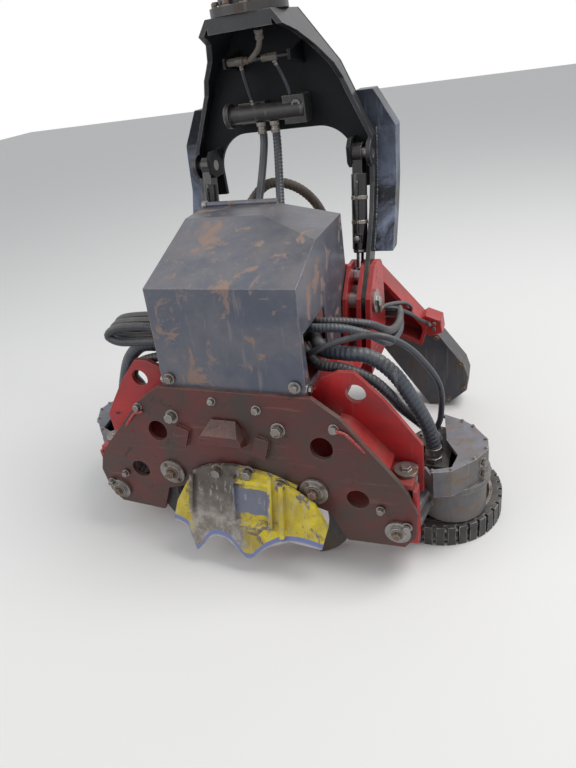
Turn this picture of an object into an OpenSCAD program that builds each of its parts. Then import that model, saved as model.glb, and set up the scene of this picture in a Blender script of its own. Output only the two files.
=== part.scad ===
// Forestry harvester head lying as the photograph shows it, opening down on its feed rollers.
// X across the head, +Y towards the saw end, Z up. Millimetres. Places are measured from the
// tilt pivot's axis in Y, and y_shift then puts the origin under the middle of the box.

/* [Frame] */
// half width of the welded main frame
frame_hw = 150; // [135:1:165]
// height of the frame's underside above the ground
frame_z0 = 230; // [215:1:245]
// wall thickness of the main frame
frame_wall = 10; // [6:1:14]
// half width of the front plate at its widest
plate_hw = 520; // [500:1:550]
// thickness of the front plate
plate_t = 14; // [10:1:18]
// lean of the front plate's upper panel in degrees
plate_lean = 10; // [7:1:13]

/* [Hose cover] */
// sheet thickness of the hose cover
cover_t = 6; // [4:1:8]
// height of the hose cover above the frame
cover_h = 397; // [370:1:410]

/* [Tilt frame] */
// height of the tilt pivot above the frame's top plate
pivot_rise = 90; // [85:1:100]
// radius of the tilt pivot pins
pivot_r = 28; // [22:1:32]
// outer half width of the tilt frame's side plates
hood_hw = 300; // [290:1:315]
// thickness of the tilt frame's side plates
hood_t = 14; // [12:1:16]
// height of the tilt frame's top plate above the pivot
hood_h = 801; // [770:1:830]
// half width of the tilt frame's top plate
hood_top_hw = 96; // [88:1:110]

/* [Tilt cylinders] */
// outer radius of the cylinder barrel
cyl_r = 24; // [20:1:26]
// radius of the chrome rod
rod_r = 13; // [10:1:15]

/* [Front knives] */
// thickness of a delimbing knife
knife_t = 18; // [14:1:20]
// lean of the fixed top knife in degrees
top_knife_lean = 18; // [14:1:22]

/* [Feed rollers] */
// radius of a feed roller over its lugs
roller_r = 196; // [188:1:204]
// height of a feed roller
roller_h = 70; // [64:1:80]
// number of lugs round a roller
lug_count = 36; // [28:1:40]

/* [Saw] */
// length of the saw bar from its pivot to its tip
bar_len = 455; // [430:1:465]
// width of the saw bar
bar_w = 76; // [66:1:84]

/* [Rotator] */
// radius of the rotator's body
rotator_r = 82; // [72:1:92]
// radius of the bore that takes the crane's link pin
crane_bore_r = 20; // [16:0.5:24]

/* [Hidden] */
$fn = 48;

y_shift = 41.8;
fit = 0.05;
side_gap = 0.5;

// heights
frame_z1 = 549;
pivot_z = frame_z1 + pivot_rise;
hood_z = pivot_z + hood_h;
cover_z = frame_z1 + cover_h;

// front plate: face at the bottom, crease and top
py = -480;
plate_crease = 300;
plate_top = frame_z1 + 2;
plate_rise = (plate_top - plate_crease) * tan(plate_lean);
wing_y = -372;
wing_t = 14;

// across the tilt pivot, from the middle plane outwards
leg_in = hood_hw - hood_t;
fork_mid_t = 14;
fork_mid = leg_in - side_gap - fork_mid_t;
eye_w = 30;
cyl_x = fork_mid - side_gap - eye_w / 2;
fork_in_t = 12;
fork_in = cyl_x - eye_w / 2 - side_gap - fork_in_t;
fork_out = hood_hw + side_gap;
fork_out_t = 16;
cover_hw = cyl_x - cyl_r - 8;

// tilt cylinder: lower eye on the fork and upper eye in the tilt frame, as [y, z]
eye_lo = [80, pivot_z + 51];
eye_hi = [165, pivot_z + 406];
eye_pin_r = 16;
cyl_len = norm(eye_hi - eye_lo);
cyl_lean = atan2(eye_hi[0] - eye_lo[0], eye_hi[1] - eye_lo[1]);

// feed arm pin and roller axis, as [x, y]
arm_pin = [478, -410];
roller_pos = [524, -161];
arm_pin_r = 18;
arm_turn = atan2(roller_pos[0] - arm_pin[0], roller_pos[1] - arm_pin[1]);
shaft_r = 30;

// knife pivot, as [x, z]
knife_pin = [232, 272];
outer_pin = [plate_hw - 56, 165];
knife_pin_r = 26;
knife_y = py + plate_t + 6;

// saw pivot, as [x, z], and the angle that the parked bar points at
saw_pin = [frame_hw + 50, 470];
saw_angle = -47.4;
frame_y1 = 395;
butt_t = 12;
saw_y0 = frame_y1 + butt_t;
saw_y1 = 500;
bar_y = 446;
bar_t = 8;

// measuring arm's pin and the wheel's axis, as [y, z]
meas_pin = [90, frame_z0 - 25];
meas_axis = [205, frame_z0 - 102];
meas_pin_r = 9;
meas_axle_r = 8;

// placing and plates
module at_origin() translate([0, y_shift, 0]) children();
module xz_plate(y0, t, pts) translate([0, y0 + t, 0]) rotate([90, 0, 0]) linear_extrude(t) polygon(pts);
module yz_plate(x0, t, pts) translate([x0, 0, 0]) rotate([90, 0, 90]) linear_extrude(t) polygon(pts);
module xcyl(x0, l, r, y, z) translate([x0, y, z]) rotate([0, 90, 0]) cylinder(r = r, h = l);
module ycyl(y0, l, r, x, z) translate([x, y0, z]) rotate([-90, 0, 0]) cylinder(r = r, h = l);
module zcyl(z0, l, r, x, y) translate([x, y, z0]) cylinder(r = r, h = l);
module both() {
  children();
  mirror([1, 0, 0]) children();
}
module side(s) {
  if (s > 0) children();
  else mirror([1, 0, 0]) children();
}
function mir(p) = [for (i = [len(p) - 1:-1:0]) [-p[i][0], p[i][1]]];

// hoses: a tube along a smooth curve through a few points
function unit(v) = v / norm(v);
function curve_at(p, i, t) =
  let (a = p[max(i - 1, 0)], b = p[i], c = p[i + 1], d = p[min(i + 2, len(p) - 1)])
  0.5 * (2 * b + (c - a) * t + (2 * a - 5 * b + 4 * c - d) * t * t + (3 * b - a - 3 * c + d) * t * t * t);
function smooth(p, n) = [for (i = [0:len(p) - 2]) for (k = [0:n - 1]) curve_at(p, i, k / n), p[len(p) - 1]];
// both ends are cut square to the route's first and last stretch
function tangents(q, p) = [unit(p[1] - p[0]), for (i = [1:len(q) - 2]) unit(q[i + 1] - q[i - 1]),
  unit(p[len(p) - 1] - p[len(p) - 2])];
function normals(t) = [for (i = 0, n = unit(cross(t[0], [0.31, 0.2, 0.93])); i < len(t);
  n = unit(n - (n * t[min(i + 1, len(t) - 1)]) * t[min(i + 1, len(t) - 1)]), i = i + 1) n];

module tube(r, p, sides = 8, per = 3) {
  q = smooth(p, per);
  t = tangents(q, p);
  n = normals(t);
  ring = [for (k = [0:sides - 1]) [cos(k * 360 / sides), sin(k * 360 / sides)]];
  last = len(q) - 1;
  polyhedron(
    points = [for (i = [0:last]) let (b = cross(t[i], n[i])) for (c = ring) q[i] + r * (c[0] * n[i] + c[1] * b)],
    faces = concat([[for (k = [0:sides - 1]) k]],
      [[for (k = [sides - 1:-1:0]) last * sides + k]],
      [for (i = [0:last - 1]) for (k = [0:sides - 1]) let (m = (k + 1) % sides)
        [i * sides + m, i * sides + k, (i + 1) * sides + k, (i + 1) * sides + m]]));
}
module hoses(table) for (h = table) tube(h[0], h[1]);

// everything in front of the bent plate's back face
module ahead_of_plate()
  yz_plate(-600, 1200, [[py - 200, 60], [py - 200, 600], [py + plate_rise + plate_t + 9, 600],
    [py + plate_rise + plate_t, plate_top], [py + plate_t, plate_crease], [py + plate_t, 60]]);

// bent front plate
plate_low = [[140, 236], [270, 197], [plate_hw - 205, 97], [plate_hw - 40, 106], [plate_hw - 8, 149],
             [plate_hw, 236]];
plate_up = [[plate_hw - 25, plate_crease], [plate_hw - 40, 323], [345, 469], [316, 500], [240, plate_top]];
module front_plate() at_origin() color([0.42, 0.12, 0.10]) difference() {
  union() {
    intersection() {
      yz_plate(-plate_hw, 2 * plate_hw, [[py, 80], [py, plate_crease], [py + plate_rise, plate_top],
        [py + plate_rise + plate_t, plate_top], [py + plate_t, plate_crease], [py + plate_t, 80]]);
      xz_plate(py - 5, 100, concat(plate_low, plate_up, mir(plate_up), mir(plate_low)));
    }
    // welded stop blocks and the lifting nose
    for (b = [[-175, 405, 46, 56, 20], [84, 394, 42, 62, 16]])
      translate([b[0], py + (b[1] - plate_crease) * tan(plate_lean), b[1]]) rotate([-plate_lean, b[4], 0])
        translate([-b[2] / 2, -14, -b[3] / 2]) cube([b[2], 16, b[3]]);
    intersection() {
      yz_plate(-120, 200, [[py + 10, 395], [py - 22, 412], [py - 20, 440], [py + 22, 470], [py + 26, 395]]);
      xz_plate(py - 40, 90, [[-95, 395], [38, 395], [38, 425], [12, 470], [-66, 470], [-95, 425]]);
    }
  }
  both() {
    ycyl(py - 50, 100, 32, plate_hw - 163, 261);
    ycyl(py - 50, 150, 33, 262, 408);
    ycyl(py - 50, 100, knife_pin_r, knife_pin[0], knife_pin[1]);
    ycyl(py - 50, 100, 22, outer_pin[0], outer_pin[1]);
  }
}

// knife pins, the wings' lower pins, their washers and keeper rings
module front_pins() at_origin() color([0.6, 0.6, 0.62]) both() {
  ycyl(py - 12, wing_y - py + 12, knife_pin_r, knife_pin[0], knife_pin[1]);
  difference() {
    ycyl(py - 9, 9, 42, knife_pin[0], knife_pin[1]);
    ycyl(py - 10, 11, knife_pin_r, knife_pin[0], knife_pin[1]);
  }
  ycyl(py - 16, plate_t + 30, 22, outer_pin[0], outer_pin[1]);
  difference() {
    ycyl(py - 9, 9, 36, outer_pin[0], outer_pin[1]);
    ycyl(py - 10, 11, 22, outer_pin[0], outer_pin[1]);
  }
}

// back plate of a wing, its shelves for the arm pin, sloped web and end return
shelf_z = [112, 306];
shelf_t = 14;
module wing_plate(s) at_origin() color([0.62, 0.05, 0.05]) side(s) difference() {
  union() {
    xz_plate(wing_y, wing_t, [[frame_hw, frame_z1 - 9], [cover_hw + 8, frame_z1 - 9], [250, 575], [300, 600],
      [345, 600], [415, 526], [470, 452], [plate_hw - 2, 384], [plate_hw - 2, 225], [380, 225], [380, 112],
      [330, 112], [frame_hw, frame_z0 + 6]]);
    for (z = shelf_z) translate([430, py + plate_t, z]) cube([75, wing_y - py - plate_t, shelf_t]);
    xz_plate(-460, wing_y + 460, [[300, 470], [330, 462], [440, 343], [440, 325], [324, 448], [300, 458]]);
    translate([505, py + plate_t, 112]) cube([11, 38, 190]);
  }
  ahead_of_plate();
  ycyl(wing_y - 10, 40, 28, 345, 536);
  ycyl(wing_y - 10, 40, 16, 450, 262);
  zcyl(90, 240, arm_pin_r, arm_pin[0], arm_pin[1]);
}

module arm_pins() at_origin() color([0.6, 0.6, 0.62]) both() {
  zcyl(shelf_z[0], shelf_z[1] + 26 - shelf_z[0], arm_pin_r, arm_pin[0], arm_pin[1]);
  zcyl(320, 12, 32, arm_pin[0], arm_pin[1]);
  translate([arm_pin[0], arm_pin[1], 332]) cylinder(r = 15, h = 10, $fn = 6);
}

// welded box girder with the butt plate at the saw end
butt_half = [[frame_hw, frame_z0 - 4], [frame_hw + 65, frame_z0 + 32], [frame_hw + 65, frame_z1 + 11],
             [frame_hw, frame_z1 + 61]];
module main_frame() at_origin() color([0.5, 0.07, 0.06]) {
  y0 = py + plate_t;
  in_hw = frame_hw - frame_wall;
  difference() {
    translate([-frame_hw, y0, frame_z0]) cube([2 * frame_hw, frame_y1 - y0, frame_z1 - frame_z0]);
    translate([-in_hw, y0 + 40, frame_z0 + frame_wall])
      cube([2 * in_hw, frame_y1 - y0 - 50, frame_z1 - frame_z0 - 2 * frame_wall]);
    ahead_of_plate();
    // hose way up into the cover, lightening holes
    translate([-100, -330, frame_z1 - 20]) cube([200, 220, 40]);
    for (y = [-240, -160, 210, 300]) xcyl(-frame_hw - 1, 2 * frame_hw + 2, 30, y, 330);
  }
  difference() {
    xz_plate(frame_y1, butt_t, concat(butt_half, mir(butt_half)));
    ycyl(frame_y1 - 5, 30, 30, saw_pin[0], saw_pin[1]);
    ycyl(frame_y1 - 5, 30, 45, 0, 480);
  }
}

// shelf that carries the hose cover and the fork decks
deck_z = 490;
module frame_deck() at_origin() color([0.55, 0.05, 0.05]) both() {
  translate([frame_hw, wing_y + wing_t, frame_z1 - 8]) cube([cover_hw - frame_hw, -90 - wing_y - wing_t, 8]);
  translate([frame_hw, wing_y + wing_t, deck_z]) cube([fork_out - frame_hw, -90 - wing_y - wing_t, 12]);
  yz_plate(cover_hw - 10, 10, [[wing_y + wing_t, deck_z + 12], [-90, deck_z + 12], [-90, frame_z1 - 8],
    [wing_y + wing_t, frame_z1 - 8]]);
}

module wear_strips() at_origin() color([0.4, 0.38, 0.36]) both() {
  yz_plate(62, 34, [[wing_y, frame_z0], [wing_y + 20, frame_z0 - 12], [frame_y1 - 20, frame_z0 - 12],
    [frame_y1, frame_z0]]);
}

// forks of the tilt pivot: three plates a side on a cross box
module fork_plate(x0, t) {
  yz_plate(x0, t, [[-90, deck_z], [120, deck_z], [132, pivot_z + 51], [80, pivot_z + 103], [30, pivot_z + 103],
    [-48, pivot_z + 25]]);
  xcyl(x0, t, 52, 0, pivot_z);
  xcyl(x0, t, 52, eye_lo[0], eye_lo[1]);
}

module tilt_fork(s) at_origin() color([0.75, 0.04, 0.05]) side(s) difference() {
  union() {
    fork_plate(fork_in, fork_in_t);
    fork_plate(fork_mid, fork_mid_t);
    fork_plate(fork_out, fork_out_t);
    translate([frame_hw, -90, deck_z - 60]) cube([fork_out + fork_out_t - frame_hw, 210, 60]);
    yz_plate(frame_hw, fork_in - frame_hw, [[-60, deck_z], [100, deck_z], [60, frame_z1 + 40], [-20, frame_z1 + 40]]);
  }
  xcyl(fork_in - 1, fork_out + fork_out_t - fork_in + 2, pivot_r, 0, pivot_z);
}

module tilt_pivot_pins() at_origin() color([0.55, 0.55, 0.57]) both() {
  xcyl(fork_in, fork_out + fork_out_t - fork_in, pivot_r, 0, pivot_z);
  xcyl(fork_out + fork_out_t, 8, 36, 0, pivot_z);
  translate([fork_out + fork_out_t + 8, 0, pivot_z]) rotate([0, 90, 0]) cylinder(r = 17, h = 10, $fn = 6);
}

// folded sheet cover over the hoses, open at the rear, with a facet on its right
cover_front = py + plate_rise + plate_t;
module cover_solid(hw, d) difference() {
  yz_plate(-hw, 2 * hw, [[cover_front + d, frame_z1], [cover_front + 30 + d, cover_z - 106 - d],
    [-100, cover_z - d], [30, cover_z - d], [30, frame_z1 + 155], [-90, frame_z1]]);
  translate([31, -100, cover_z - d]) rotate([0, 12, 0]) translate([0, -500, 0]) cube([400, 700, 200]);
}

module hose_cover() at_origin() color([0.42, 0.43, 0.47]) {
  in_hw = cover_hw - cover_t;
  difference() {
    cover_solid(cover_hw, 0);
    cover_solid(in_hw, cover_t);
    // windows that the side hoses pass through
    translate([-cover_hw - 1, -385, frame_z1 + 14]) cube([2 * cover_hw + 2, 180, 150]);
  }
  // rod along the rear edge
  xcyl(-cover_hw + 10, cover_hw + 20, 9, 26, cover_z + 6);
}

// top knife: leaning sheet with a wavy ground edge, ribs and bolted flange
function knife_sheet(d0, d1) = let (k = tan(top_knife_lean), y1 = py - 12)
  [[y1 + d1, 335], [y1 + d1 - 300 * k, 35], [y1 + d0 - 300 * k, 35], [y1 + d0, 335]];
module fixed_knife() at_origin() color([0.85, 0.75, 0.08]) {
  intersection() {
    yz_plate(-300, 600, knife_sheet(0, 12));
    xz_plate(py - 140, 160, [[-145, 303], [-205, 205], [-224, 142], [-173, 125], [-146, 53], [-110, 90],
      [-77, 112], [-41, 108], [-5, 80], [29, 55], [60, 75], [96, 104], [164, 132], [262, 125], [280, 190],
      [241, 250], [183, 282], [104, 315], [-11, 335], [-94, 323]]);
  }
  intersection() {
    yz_plate(-300, 600, knife_sheet(-12, 1));
    union() {
      for (b = [[-14, 170, 12, 140], [104, 175, 12, 138], [138, 140, 14, 160]])
        translate([b[0], py - 140, b[1]]) cube([b[2], 160, b[3]]);
      for (b = [[-14, 166, 130, 12], [-14, 292, 130, 12]]) translate([b[0], py - 140, b[1]]) cube([b[2], 160, b[3]]);
      xz_plate(py - 140, 160, [[-150, 300], [-160, 180], [-148, 180], [-138, 296]]);
    }
  }
  // flange on the front plate
  xz_plate(py - 12, 12, [[-94, 323], [-11, 335], [104, 315], [183, 282], [176, 262], [100, 290], [-11, 308],
    [-94, 296]]);
}

// saw housing, its red bracket, motor and bar; outlines run out from the frame's side, as [x, z]
saw_out = [[0, 520], [40, 545], [105, 520], [235, 372], [300, 318], [395, 190], [411, 140], [407, 80], [340, 14],
           [263, 0], [180, 120], [0, 380]];
saw_in = [[-20, 500], [40, 537], [101, 513], [230, 366], [294, 312], [388, 186], [403, 139], [399, 83], [270, -10],
          [-50, 300]];
module saw_box() at_origin() color([0.3, 0.3, 0.31]) difference() {
  translate([frame_hw, 0, 0]) difference() {
    xz_plate(saw_y0, saw_y1 - saw_y0, saw_out);
    xz_plate(saw_y0 + 6, saw_y1 - saw_y0 - 12, saw_in);
  }
  ycyl(saw_y0 - 1, 20, 30, saw_pin[0], saw_pin[1]);
}

bracket_y0 = 300;
bracket_out = [[0, 560], [55, 625], [90, 625], [275, 404], [255, 330], [0, 432]];
bracket_in = [[10, 550], [55, 605], [85, 608], [261, 400], [246, 347], [10, 446]];
module saw_bracket() at_origin() color([0.75, 0.04, 0.05]) difference() {
  translate([frame_hw, 0, 0]) difference() {
    xz_plate(bracket_y0, frame_y1 - bracket_y0, bracket_out);
    xz_plate(bracket_y0 - 10, frame_y1 - bracket_y0, bracket_in);
  }
  ycyl(380, 30, 30, saw_pin[0], saw_pin[1]);
}

module saw_motor() at_origin() color([0.12, 0.12, 0.13]) {
  ycyl(320, bar_y - 330, 29.9, saw_pin[0], saw_pin[1]);
  ycyl(bar_y - 10, 40, 14, saw_pin[0], saw_pin[1]);
}

module saw_bar() at_origin() color([0.5, 0.5, 0.52])
  translate([saw_pin[0], 0, saw_pin[1]]) rotate([0, -saw_angle, 0]) difference() {
    union() {
      translate([0, bar_y, -bar_w / 2]) cube([bar_len - bar_w / 2, bar_t, bar_w]);
      ycyl(bar_y, bar_t, bar_w / 2, 0, 0);
      ycyl(bar_y, bar_t, bar_w / 2, bar_len - bar_w / 2, 0);
    }
    ycyl(bar_y - 1, bar_t + 2, 14 + fit, 0, 0);
  }

valve_hw = 120;
valve_h = 130;
port_h = 30;
port_y = -170;
// free ends of the hoses stand this far off the faces that they are screwed into
seat = 0.3;
port_z = frame_z1 + valve_h + port_h + seat;
module valve_block() at_origin() color([0.2, 0.2, 0.21]) {
  translate([-valve_hw, -300, frame_z1]) cube([2 * valve_hw, 200, valve_h]);
  for (x = [-90:45:90]) zcyl(frame_z1 + valve_h, port_h, 16, x, port_y);
}

// cheeks and pin under the frame that carry the measuring arm
module measuring_cheeks() at_origin() color([0.45, 0.06, 0.05]) {
  for (x = [-42, 30]) translate([x, meas_pin[0] - 25, meas_pin[1] - 18])
    cube([12, 50, frame_z0 - meas_pin[1] + 18]);
  xcyl(-42, 84, meas_pin_r, meas_pin[0], meas_pin[1]);
}

// measuring wheel on its arm under the frame
module measuring_arm() at_origin() color([0.4, 0.05, 0.05]) {
  difference() {
    union() {
      for (x = [-28, 18]) {
        xcyl(x, 10, 20, meas_pin[0], meas_pin[1]);
        xcyl(x, 10, 20, meas_axis[0], meas_axis[1]);
        yz_plate(x, 10, [[meas_pin[0] - 5, meas_pin[1] - 19], [meas_axis[0] - 5, meas_axis[1] - 19],
          [meas_axis[0] + 5, meas_axis[1] + 19], [meas_pin[0] + 5, meas_pin[1] + 19]]);
      }
      translate([-18, meas_pin[0] + 28, meas_pin[1] - 36]) cube([36, 16, 20]);
    }
    xcyl(-40, 80, meas_pin_r + fit, meas_pin[0], meas_pin[1]);
  }
  xcyl(-28, 56, meas_axle_r, meas_axis[0], meas_axis[1]);
}

module measuring_wheel() at_origin() color([0.45, 0.45, 0.46]) difference() {
  union() {
    xcyl(-9, 18, 50, meas_axis[0], meas_axis[1]);
    for (i = [0:17]) translate([-9, meas_axis[0], meas_axis[1]]) rotate([i * 20, 0, 0])
      translate([0, -4, 44]) cube([18, 8, 18]);
  }
  xcyl(-10, 20, meas_axle_r + fit, meas_axis[0], meas_axis[1]);
}

// tilt frame: hood of bent side plates over an arched back plate
hood_back = 212;
hood_bend = pivot_z + 451;
hood_front = 12;
bar_h = 37;
// side plate seen from the side, as [y, z]: front edge from the pivot up, then the rear edge down
hood_side = [[-40, pivot_z + 26], [39, pivot_z + 116], [125, pivot_z + 241], [158, pivot_z + 321],
             [172, pivot_z + 410], [172, pivot_z + 611], [148, pivot_z + 665], [127, pivot_z + 702],
             [75, pivot_z + 744], [hood_front, hood_z - bar_h], [hood_front, hood_z], [hood_back, hood_z],
             [hood_back, pivot_z + 300], [150, pivot_z + 180], [60, pivot_z + 40], [45, pivot_z - 27],
             [0, pivot_z - 39]];
// right half of the hood seen from the front, as [x, z], moved inwards by d
function hood_half(d, z0) = [[hood_hw - d, z0], [hood_hw - d, hood_bend],
  [hood_top_hw + 112 - d, pivot_z + 654 - 0.3 * d], [hood_top_hw - 0.5 * d, hood_z - d]];
module hood_block(y0, t, d, z0) xz_plate(y0, t, concat(hood_half(d, z0), mir(hood_half(d, z0))));

module tilt_hood() at_origin() color([0.07, 0.08, 0.10]) difference() {
  union() {
    intersection() {
      difference() {
        hood_block(-60, hood_back + 60, 0, pivot_z - 80);
        hood_block(-61, hood_back + 62, hood_t, pivot_z - 81);
      }
      union() {
        yz_plate(-hood_hw - 50, 2 * hood_hw + 100, hood_side);
        xcyl(-hood_hw - 50, 2 * hood_hw + 100, 46, 0, pivot_z);
        xcyl(-hood_hw - 50, 2 * hood_hw + 100, 38, eye_hi[0], eye_hi[1]);
      }
    }
    // front bar under the top plate
    translate([-hood_top_hw + 2, hood_front, hood_z - bar_h]) cube([2 * hood_top_hw - 4, 14, bar_h]);
  }
  both() {
    xcyl(leg_in - 5, hood_t + 12, pivot_r + fit, 0, pivot_z);
    xcyl(fork_in - 10, 120, eye_pin_r, eye_hi[0], eye_hi[1]);
  }
}

arch_hw = cover_hw + 8;
arch_r = 110;
arch_top = pivot_z + 487;
module tilt_back_plate() at_origin() color([0.06, 0.07, 0.09]) {
  difference() {
    hood_block(hood_back, 14, 0, pivot_z + 300);
    translate([-arch_hw, hood_back - 1, pivot_z]) cube([2 * arch_hw, 16, arch_top - arch_r - pivot_z]);
    translate([-arch_hw + arch_r, hood_back - 1, pivot_z]) cube([2 * (arch_hw - arch_r), 16, arch_top - pivot_z]);
    both() ycyl(hood_back - 1, 16, arch_r, arch_hw - arch_r, arch_top - arch_r);
  }
  // upper eye lugs
  both() difference() {
    yz_plate(fork_in, fork_in_t, [[128, eye_hi[1] - 20], [148, eye_hi[1] - 36], [hood_back, eye_hi[1] - 36],
      [hood_back, eye_hi[1] + 45], [150, eye_hi[1] + 45], [128, eye_hi[1] + 25]]);
    xcyl(fork_in - 10, 40, eye_pin_r, eye_hi[0], eye_hi[1]);
  }
}

module tilt_eye_pins() at_origin() color([0.55, 0.55, 0.57]) both()
  xcyl(fork_in, hood_hw - 2 - fork_in, eye_pin_r - fit, eye_hi[0], eye_hi[1]);

// leg boxes that follow the hood's sides, open at the bottom
leg_w = 59;
leg_d = 60;
leg_wall = 7;
leg_z0 = pivot_z + 124;
leg_z1 = pivot_z + 571;
// front face as [y, z], and the outline as [x, z]
leg_front = [[100, leg_z0], [165, pivot_z + 241], [198, pivot_z + 321], [213, pivot_z + 424], [222, pivot_z + 468],
             [217, leg_z1]];
function leg_outline(d, z0, z1) = [[hood_hw + d, z0], [hood_hw + leg_w - d, z0], [hood_hw + leg_w - d, pivot_z + 466],
                                   [hood_hw - 2 - d, z1], [hood_hw - 54 + d, z1], [hood_hw + d, hood_bend]];
module leg_block(x0, w, d, z0, z1) intersection() {
  xz_plate(0, 400, leg_outline(d, z0, z1));
  yz_plate(x0, w, concat([[leg_front[0][0] - 20 + d, z0 - 30]], [for (p = leg_front) [p[0] + d, p[1]]],
    [for (i = [len(leg_front) - 1:-1:0]) [leg_front[i][0] + leg_d - d, leg_front[i][1]]],
    [[leg_front[0][0] + leg_d - 20 - d, z0 - 30]]));
}
module tilt_leg(s) at_origin() color([0.08, 0.09, 0.12]) side(s) difference() {
  leg_block(200, 250, 0, leg_z0, leg_z1);
  leg_block(200, 250, leg_wall, leg_z0 - 10, leg_z1 - leg_wall);
}

// transverse tube with end disc, its bracket and the hydraulic pipe above
module hood_cross_tube() at_origin() color([0.12, 0.13, 0.15]) {
  xcyl(-140, 245, 25, 165, pivot_z + 546);
  xcyl(-150, 12, 36, 165, pivot_z + 546);
  difference() {
    translate([40, 150, pivot_z + 508]) cube([68, hood_back - 150, 78]);
    ycyl(140, 30, 7, 82, pivot_z + 560);
  }
  translate([-120, 180, pivot_z + 516]) cube([90, hood_back - 180, 60]);
}

// hoses from the valve block through the arch to the saw end of the frame
arch_hose_table = [
  [16, [[-90, port_y, port_z], [-90, port_y, 760], [-105, -80, 840], [-95, 50, 915], [-50, 150, 975], [30, 200, 950],
    [85, 250, 860], [95, 290, 720], [95, 295, 600], [95, 295, frame_z1 + seat]]],
  [15, [[0, port_y, port_z], [0, port_y, 750], [-10, -80, 820], [-10, 50, 880], [-30, 140, 900], [-60, 200, 860],
    [-75, 255, 760], [-80, 280, 640], [-80, 280, frame_z1 + seat]]],
  [15, [[90, port_y, port_z], [90, port_y, 750], [100, -80, 815], [95, 50, 860], [70, 140, 850], [40, 200, 800],
    [20, 250, 700], [20, 255, 620], [20, 255, frame_z1 + seat]]]];
module arch_hoses() at_origin() color([0.08, 0.08, 0.09]) hoses(arch_hose_table);

// hoses from the valve block up to the pipe under the tilt frame's top
top_hose_table = [
  [13, [[-45, port_y, port_z], [-45, port_y, 770], [-50, -80, 860], [-50, 20, 900], [-48, 100, 990],
    [-45, 165, 1100], [-45, 165, pivot_z + 521 - seat]]],
  [13, [[45, port_y, port_z], [45, port_y, 770], [45, -80, 860], [35, 20, 905], [15, 100, 990], [0, 165, 1100],
    [0, 165, pivot_z + 521 - seat]]]];
module top_hoses() at_origin() color([0.08, 0.08, 0.09]) hoses(top_hose_table);

// tilt cylinders, drawn along their own axis from the lower eye
module cyl_frame(s) side(s) translate([cyl_x, eye_lo[0], eye_lo[1]]) rotate([-cyl_lean, 0, 0]) children();
barrel_z0 = 85;
barrel_neck = 58;
module tilt_barrel(s) at_origin() color([0.06, 0.06, 0.07]) cyl_frame(s) difference() {
  union() {
    translate([0, 0, barrel_z0]) cylinder(r = cyl_r, h = cyl_len - barrel_z0 - barrel_neck);
    translate([0, 0, barrel_z0 - 12]) cylinder(r = cyl_r - 4, h = 12);
    translate([-eye_w / 2, 0, cyl_len]) rotate([0, 90, 0]) cylinder(r = 30, h = eye_w);
    translate([-eye_w / 2, -22, cyl_len - barrel_neck - 2]) cube([eye_w, 44, barrel_neck]);
    translate([-12, -cyl_r - 12, barrel_z0 + 20]) cube([24, 20, 26]);
  }
  translate([0, 0, barrel_z0 - 13]) cylinder(r = rod_r + fit, h = cyl_len - barrel_z0 - barrel_neck);
  translate([-eye_w, 0, cyl_len]) rotate([0, 90, 0]) cylinder(r = eye_pin_r + fit, h = 2 * eye_w);
}

module tilt_rod(s) at_origin() color([0.75, 0.76, 0.78]) cyl_frame(s) {
  cylinder(r = rod_r, h = cyl_len - barrel_neck - 37);
  translate([-eye_w / 2, 0, 0]) rotate([0, 90, 0]) cylinder(r = 30, h = eye_w);
}

// hinged delimbing knife, a crescent with its boss
module knife(s) at_origin() color([0.13, 0.13, 0.15]) side(s) difference() {
  union() {
    ycyl(knife_y, knife_t, 48, knife_pin[0], knife_pin[1]);
    difference() {
      ycyl(knife_y, knife_t, 172, 155, 165);
      ycyl(knife_y - 1, knife_t + 2, 138, 118, 160);
      translate([-100, knife_y - 1, -100]) cube([310, knife_t + 2, 600]);
      translate([200, knife_y - 1, 300]) cube([200, knife_t + 2, 100]);
    }
  }
  ycyl(knife_y - 1, knife_t + 2, knife_pin_r + fit, knife_pin[0], knife_pin[1]);
}

// feed arm: cast body with a boss on its pin and a guard over the motor
arm_z0 = roller_h + 8;
module arm_outline(d) {
  translate(roller_pos) circle(r = 106 - d);
  translate([575, -228]) circle(r = 112 - d);
}
module arm_link(d) translate(arm_pin) rotate(-arm_turn) translate([-20 + d, 0]) square([56 - 2 * d, 150]);
boss_z0 = shelf_z[0] + shelf_t + 2;
guard = [[509, -330], [545, -378], [592, -362], [650, -300], [680, -245], [674, -200], [630, -140], [596, -116],
         [537, -92], [500, -110]];
guard_in = [[519, -330], [548, -366], [588, -351], [642, -294], [669, -243], [664, -204], [623, -148],
            [592, -126], [537, -102], [490, -116], [480, -330]];
module feed_arm(s) at_origin() color([0.33, 0.31, 0.30]) side(s) difference() {
  union() {
    translate([0, 0, 190]) linear_extrude(20) arm_outline(0);
    translate([0, 0, arm_z0]) linear_extrude(192 - arm_z0) arm_outline(10);
    translate([0, 0, boss_z0]) linear_extrude(22) arm_link(0);
    translate([0, 0, 190]) linear_extrude(20) arm_link(0);
    translate([0, 0, boss_z0]) linear_extrude(210 - boss_z0) arm_link(10);
    zcyl(boss_z0, shelf_z[1] - 2 - boss_z0, 30, arm_pin[0], arm_pin[1]);
    zcyl(8, arm_z0 - 6, shaft_r, roller_pos[0], roller_pos[1]);
    difference() {
      translate([0, 0, 210]) linear_extrude(90) polygon(guard);
      translate([0, 0, 209]) linear_extrude(80) polygon(guard_in);
      translate([0, 0, 280]) linear_extrude(30) polygon([[480, -345], [537, -366], [590, -344], [600, -289],
        [561, -224], [540, -102], [470, -80]]);
    }
  }
  zcyl(100, 220, arm_pin_r + fit, arm_pin[0], arm_pin[1]);
  zcyl(motor_z0, 130, 78, roller_pos[0], roller_pos[1]);
}

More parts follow.
